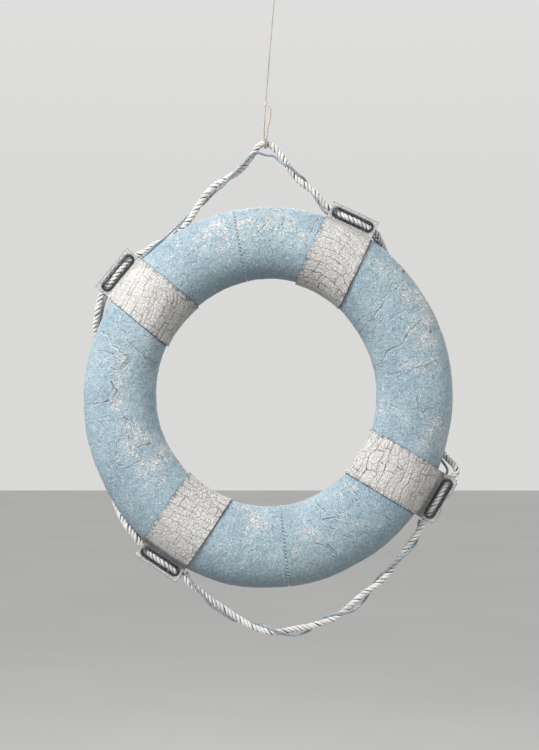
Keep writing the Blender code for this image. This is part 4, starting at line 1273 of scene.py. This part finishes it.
def make_band(name):
    """A canvas band round the tube, with a tab at the front and back and an oblong hole through both."""
    rows = band_rows(BANDS[name])
    columns = round(BAND_WIDTH / BAND_STEP) + 1
    across = np.linspace(-BAND_WIDTH / 2, BAND_WIDTH / 2, columns)
    out, up = compass(BANDS[name])
    flats, surfaces = [], []
    for offset in (BAND_GAP + BAND_THICKNESS, BAND_GAP):
        flat = np.array([band_row(*row, name, across, offset) for row in rows])
        flats.append(flat)
        surfaces.append(flat[:, 0, :, None] * out + flat[:, 1, :, None] * BACK + across[:, None] * up)
    reach, depth = flats[0][:, 0], flats[0][:, 1]
    middle = len(rows) // 2, columns // 2
    marks = lengths_of(flats[0][:, :, middle[1]])
    arc = np.broadcast_to((marks - marks[middle[0]])[:, None], reach.shape)
    wide = np.broadcast_to(across, reach.shape)
    spot = surfaces[0]
    normal = grid_normals(spot)
    normal = -normal if normal[middle] @ out > 0 else normal
    gap = np.where(np.abs(depth) < TAB_HALF_DEPTH, outline_gap(reach, wide, SLOT_GROWTH), 1.0)
    height, dark, tone, grime_and_shade = band_paint(name, reach, depth, wide, arc, gap, spot, normal)
    surfaces[0] = spot + normal * height[..., None]

    # The edges waver
    ragged = 0.0009 * layered(np.stack([arc, wide * 0, wide * 0], axis=-1), 0.02, 3, 95)
    ragged = np.sign(wide) * ragged * (1 - ramp(BAND_WIDTH / 2 - np.abs(wide), 0.0, 0.004))
    shift = ragged[..., None] * up * (1 - ramp(reach, *TAB_BEND))[..., None]
    surfaces = [surface + shift for surface in surfaces]

    quads, rim_edges = cut_hole(surfaces, gap, reach, wide, out, up)
    size = reach.size
    walls = np.column_stack([rim_edges[:, ::-1], rim_edges + size])
    faces = np.concatenate([quads, quads[:, ::-1] + size, walls])
    used, faces = np.unique(faces, return_inverse=True)
    values = {
        "crack_and_shadow": np.concatenate([dark.ravel(), np.zeros(size)]),
        "tone": np.concatenate([tone.ravel(), np.full(size, 0.5)]),
        "grime_and_shade": np.concatenate([grime_and_shade.ravel(), np.full(size, 0.3)]),
        "cloth": np.tile(stretched_cloth(name, wide, arc).reshape(-1, 3), (2, 1)),
    }
    values = {key: value[used] for key, value in values.items()}
    points = np.concatenate([surface.reshape(-1, 3) for surface in surfaces])[used] + RING_CENTRE
    piece = build_mesh(f"band_cloth_{name}", points, faces.reshape(-1, 4).tolist(), WHITE, values)
    settle(piece, "lifebuoy", (f"band_{name}",))


def make_eyelet(name, face, side):
    """A rolled rim round the oblong hole."""
    under = LEAF_INSIDE + BAND_THICKNESS + 0.0003
    inside = LEAF_INSIDE + 0.0004
    profile = [(0.0, inside), (0.0, under)]
    for angle in np.radians(range(0, 181, 30)):
        profile.append((0.0012 - 0.0012 * math.cos(angle), under + 0.0006 + 0.0013 * math.sin(angle)))
    profile += [(0.0031, under + 0.0008), (0.0041, under + 0.0006), (0.0047, under + 0.0003)]
    profile += [(0.0048, under), (0.0013, under), (0.0013, inside)]
    out, up = compass(BANDS[name])
    stations = [
        (end, first + math.pi * step / 18)
        for end, first in ((HOLE_STRAIGHT, 0.0), (-HOLE_STRAIGHT, math.pi))
        for step in range(19)
    ]
    points = np.zeros((len(profile), len(stations), 3))
    for i, (grow, height) in enumerate(profile):
        for j, (end, turn) in enumerate(stations):
            away = out * math.cos(turn) + up * math.sin(turn)
            points[i, j] = out * EYELET_AT + up * end + away * (HOLE_WIDTH / 2 + grow)
            points[i, j, 1] = side * height
    dents = 0.00018 * layered(points, 0.006, 2, 101)
    points[..., 1] += side * dents * (points[..., 1] * side > under + 0.0004)
    faces = ring_faces(len(profile), len(stations), closed_rows=True)
    piece = build_mesh(f"eyelet_rim_{face}_{name}", points + RING_CENTRE, faces, METAL)
    settle(piece, "lifebuoy", (f"eyelet_{face}_{name}",))


# Ropes


def rope_piece(name, line, diameter, lay, material, body, nodes, slot, **settings):
    """A laid rope as a piece of the object."""
    points, faces, values = laid_rope(line, diameter, lay, **settings)
    piece = build_mesh(name, points + RING_CENTRE, faces, material, values)
    settle(piece, body, nodes)
    return piece


def declare(line, pieces=()):
    """Shifts the line to the ring's place in the scene; the result is not kept."""
    line = line + RING_CENTRE


def bends_at_pivots(piece):
    """Bakes the piece's placement into its points."""
    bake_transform(piece)


def out_of_eyelets(line):
    """The line, a little further forward where it shows in an eyelet."""
    line = line.copy()
    for turn in BANDS.values():
        gap = line - ring_point(EYELET_AT, turn, 0.0)
        gap[:, 1] = 0.0
        line[:, 1] -= EYELET_BULGE * np.exp(-((np.linalg.norm(gap, axis=1) / 0.024) ** 4))
    return line


def make_grab_line():
    """The rope round the ring, as an upper length and the loop that hangs below."""
    upper = out_of_eyelets(eased(spaced(smooth_route(UPPER_LINE), 0.0020), 6))
    lower = np.vstack([upper[-1:], smooth_route(LOWER_LINE)[::-1], upper[:1]])
    lower = eased(spaced(lower, 0.0020), 6)

    # The lower rope's strands go on from where the upper rope's strands end
    phase = 2 * math.pi * lengths_of(upper)[-1] / ROPE_LAY
    _, side, up = frames_along(upper)
    _, side_low, up_low = frames_along(lower)
    direction = side[-1] * math.cos(phase) + up[-1] * math.sin(phase)
    start = math.atan2(direction @ up_low[0], direction @ side_low[0])
    rope_upper = rope_piece(
        "grab_rope_upper", upper, ROPE_DIAMETER, ROPE_LAY, ROPE, "lifebuoy",
        ("grab_line_upper",), "white_rope", wander=0.35, seed=5,
    )
    rope_lower = rope_piece(
        "grab_rope_lower", lower, ROPE_DIAMETER, ROPE_LAY, ROPE, None,
        ("grab_line_lower",), "white_rope", start=start, wander=0.35, seed=6,
    )
    bends_at_pivots(rope_lower)
    declare(upper, pieces=make_whippings(upper))
    declare(lower)
    return upper, lower


def make_lashing(upper, lower):
    """The thin cord wound along the rope."""
    distance = (ROPE_DIAMETER + LASHING_DIAMETER) / 2 - LASHING_SINK
    for name, route, rope, body in (
        ("left", LASHING_LEFT, upper, "lifebuoy"),
        ("top", LASHING_TOP, upper, "lifebuoy"),
        ("right", LASHING_RIGHT, upper, "lifebuoy"),
        ("lower", LASHING_LOWER, lower, None),
    ):
        line = beside(spaced(smooth_route(route), 0.0016), rope, distance)
        piece = rope_piece(
            f"lashing_{name}", line, LASHING_DIAMETER, LASHING_LAY, LASHING, body,
            (f"lashing_cord_{name}",), "blue_cord", sides=9, wander=0.3, seed=8,
        )
        if body is None:
            bends_at_pivots(piece)
        declare(line)


def coil(centre, axis, radius, length, turns):
    """A line wound round an axis, its ends tucked in."""
    axis = axis / np.linalg.norm(axis)
    side = np.cross(axis, (0.0, 1.0, 0.0))
    side /= np.linalg.norm(side)
    up = np.cross(axis, side)
    t = np.linspace(0, 1, round(turns * 26) + 1)
    angle = 2 * np.pi * turns * t
    tuck = 1 - 0.45 * (1 - ramp(np.minimum(t, 1 - t) * turns, 0.0, 0.25))
    around = side * (radius * tuck * np.cos(angle))[:, None] + up * (radius * tuck * np.sin(angle))[:, None]
    return centre + axis * (length * (t - 0.5))[:, None] + around


def plain_cord(name, line, diameter, body, nodes, sides=10):
    """A plain length of twine."""
    points, faces, values = strand(line, diameter / 2, sides)
    piece = build_mesh(name, points + RING_CENTRE, faces, TWINE, values)
    settle(piece, body, nodes)
    return piece


def make_whippings(upper):
    """Turns of twine round the grab line where its ends are spliced."""
    pieces = []
    for name in ("splice_whipping_upper", "splice_whipping_lower"):
        low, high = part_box(name)
        middle = np.array((low + high) / 2) - RING_CENTRE
        at = int(np.argmin(np.linalg.norm(upper - middle, axis=1)))
        heading = upper[at + 2] - upper[at - 2]
        line = coil(upper[at], heading, ROPE_DIAMETER / 2 + 0.0008, 0.0125, 8)
        pieces.append(plain_cord(name + "_turns", line, 0.0016, "lifebuoy", (name,), sides=8))
    return pieces


def make_twine():
    """The twine with its hitch on the rope, and the eye it hangs from."""
    steps = round(HITCH_TURNS * 40)
    share = np.arange(steps + 1) / steps
    turn = 2 * np.pi * HITCH_TURNS * share
    hitch = APEX + np.column_stack(
        [
            HITCH_PITCH * HITCH_TURNS * (share - 0.5),
            HITCH_RADIUS * np.cos(turn),
            -HITCH_RADIUS * np.sin(turn),
        ]
    )
    standing = spaced(smooth_route([*STANDING_PART, hitch[0]]), 0.0012)
    short_end = spaced(smooth_route([hitch[-1], *SHORT_END]), 0.0012)
    line = np.vstack([standing[:-1], hitch, short_end[1:]])
    line = eased(spaced(line, 0.0011), 4)
    knot_line = coil(TAIL_KNOT_AT, np.array((0.006, -0.002, 0.072)), 0.0026, 0.0068, 2.6)
    knot = plain_cord("tail_knot_turns", knot_line, 0.0027, "twine", ("tail_knot",))
    twine = rope_piece(
        "hanging_twine_plies", line, TWINE_DIAMETER, TWINE_LAY, TWINE, "twine",
        ("hanging_twine",), "twine", strands=2, sides=9, seed=12,
    )
    declare(line, pieces=(knot,))

    origin = -RING_CENTRE
    centre = origin + (0.0, 0.0, TWINE_DIAMETER / 2 - EYE_RADIUS)
    foot = origin + (EYE_LEG, 0.0, 0.0003 - EYE_DEPTH)
    waist = origin + (EYE_RADIUS * 0.62, 0.0, -0.021)
    bow = [
        centre + np.array((math.cos(a), 0.0, math.sin(a))) * EYE_RADIUS
        for a in np.radians(range(-15, 196, 21))
    ]
    mirror = np.array((2 * origin[0], 0.0, 0.0))
    left = [mirror + p * (-1, 1, 1) for p in (waist, foot)]
    eye_line = spaced(smooth_route([foot, waist, *bow, *left]), 0.0008)
    eye = rope_piece(
        "hanging_eye_plies", eye_line, TWINE_DIAMETER, TWINE_LAY, TWINE, "hanger",
        ("hanging_eye",), "twine", strands=2, sides=9, seed=13,
    )
    knot_at = origin + (0.0, 0.0, -EYE_DEPTH - 0.0003 - 0.007)
    knot_line = coil(knot_at, np.array((0.0, 0.0, 1.0)), 0.0031, 0.0108, 3.6)
    eye_knot = plain_cord("eye_knot_turns", knot_line, 0.0030, "twine", ("eye_knot",))
    declare(eye_line, pieces=(eye_knot,))


def make_floor():
    """A pale floor far below the ring."""
    size = 30.0
    corners = [(x * size, y * size, FLOOR_HEIGHT) for x, y in ((-1, -1), (1, -1), (1, 1), (-1, 1))]
    mesh = bpy.data.meshes.new("floor")
    mesh.from_pydata(corners, [], [(0, 1, 2, 3)])
    floor = bpy.data.objects.new("floor", mesh)
    bpy.context.scene.collection.objects.link(floor)
    s = Shader("floor_paper", 0.9)
    paper = s.colours(s.noise(1.5, 3.0), [(0.3, (0.48, 0.48, 0.475)), (0.7, (0.51, 0.51, 0.505))])
    mesh.materials.append(s.finish(paper))


def make_world():
    """Light from all round, stronger from above and from behind."""
    world = bpy.data.worlds.new("studio")
    bpy.context.scene.world = world
    world.use_nodes = True
    nodes, links = world.node_tree.nodes, world.node_tree.links
    direction = nodes.new("ShaderNodeSeparateXYZ")
    links.new(nodes.new("ShaderNodeTexCoord").outputs["Generated"], direction.inputs[0])
    total = nodes.new("ShaderNodeMath")
    for i, (axis, span) in enumerate((("Z", (0.15, 0.9, 0.0, 0.28)), ("Y", (-0.5, 0.6, 0.50, 0.70)))):
        fade = nodes.new("ShaderNodeMapRange")
        links.new(direction.outputs[axis], fade.inputs["Value"])
        for key, value in zip(("From Min", "From Max", "To Min", "To Max"), span):
            fade.inputs[key].default_value = value
        links.new(fade.outputs["Result"], total.inputs[i])
    background = nodes["Background"]
    background.inputs["Color"].default_value = (1.0, 0.995, 0.985, 1.0)
    links.new(total.outputs[0], background.inputs["Strength"])
    bpy.context.scene.view_settings.view_transform = "Standard"


def make_lights():
    """A soft key light from the upper left, a weak fill and a light from behind."""
    middle = Vector(RING_CENTRE)
    for name, place, size, power in (
        ("key", (-2.3, -2.2, 2.4), 1.3, 205.0),
        ("fill", (2.8, -1.6, 0.7), 1.8, 17.0),
        ("rim", (0.6, 2.6, 2.2), 1.8, 30.0),
    ):
        light = bpy.data.lights.new(name, "AREA")
        light.shape = "DISK"
        light.size = size
        light.energy = power
        lamp = bpy.data.objects.new(name, light)
        lamp.location = middle + Vector(place)
        lamp.rotation_euler = (-Vector(place)).to_track_quat("-Z", "Y").to_euler()
        bpy.context.scene.collection.objects.link(lamp)


def make_camera():
    camera = bpy.data.cameras.new("camera")
    camera.lens = 76.8
    camera.shift_y = 0.064
    camera.clip_end = 100.0
    eye = bpy.data.objects.new("camera", camera)
    eye.location = Vector(RING_CENTRE) + Vector((0.0, -3.2, -0.05))
    eye.rotation_euler = (math.radians(90), 0.0, 0.0)
    bpy.context.scene.collection.objects.link(eye)
    bpy.context.scene.camera = eye


def finish_cad_nodes():
    """The pegs are the CAD's own, with a better material."""
    for name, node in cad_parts.items():
        if name.startswith("joint_peg"):
            node.data.materials.clear()
            node.data.materials.append(PEG)


make_floor()
make_world()
make_lights()
make_camera()
upper_rope, lower_rope = make_grab_line()
make_lashing(upper_rope, lower_rope)
make_twine()
make_cover()
make_corks()
make_stitches()
for band in BANDS:
    make_band(band)
    make_eyelet(band, "front", -1)
    make_eyelet(band, "back", 1)
finish_cad_nodes()

bpy.context.view_layer.update()
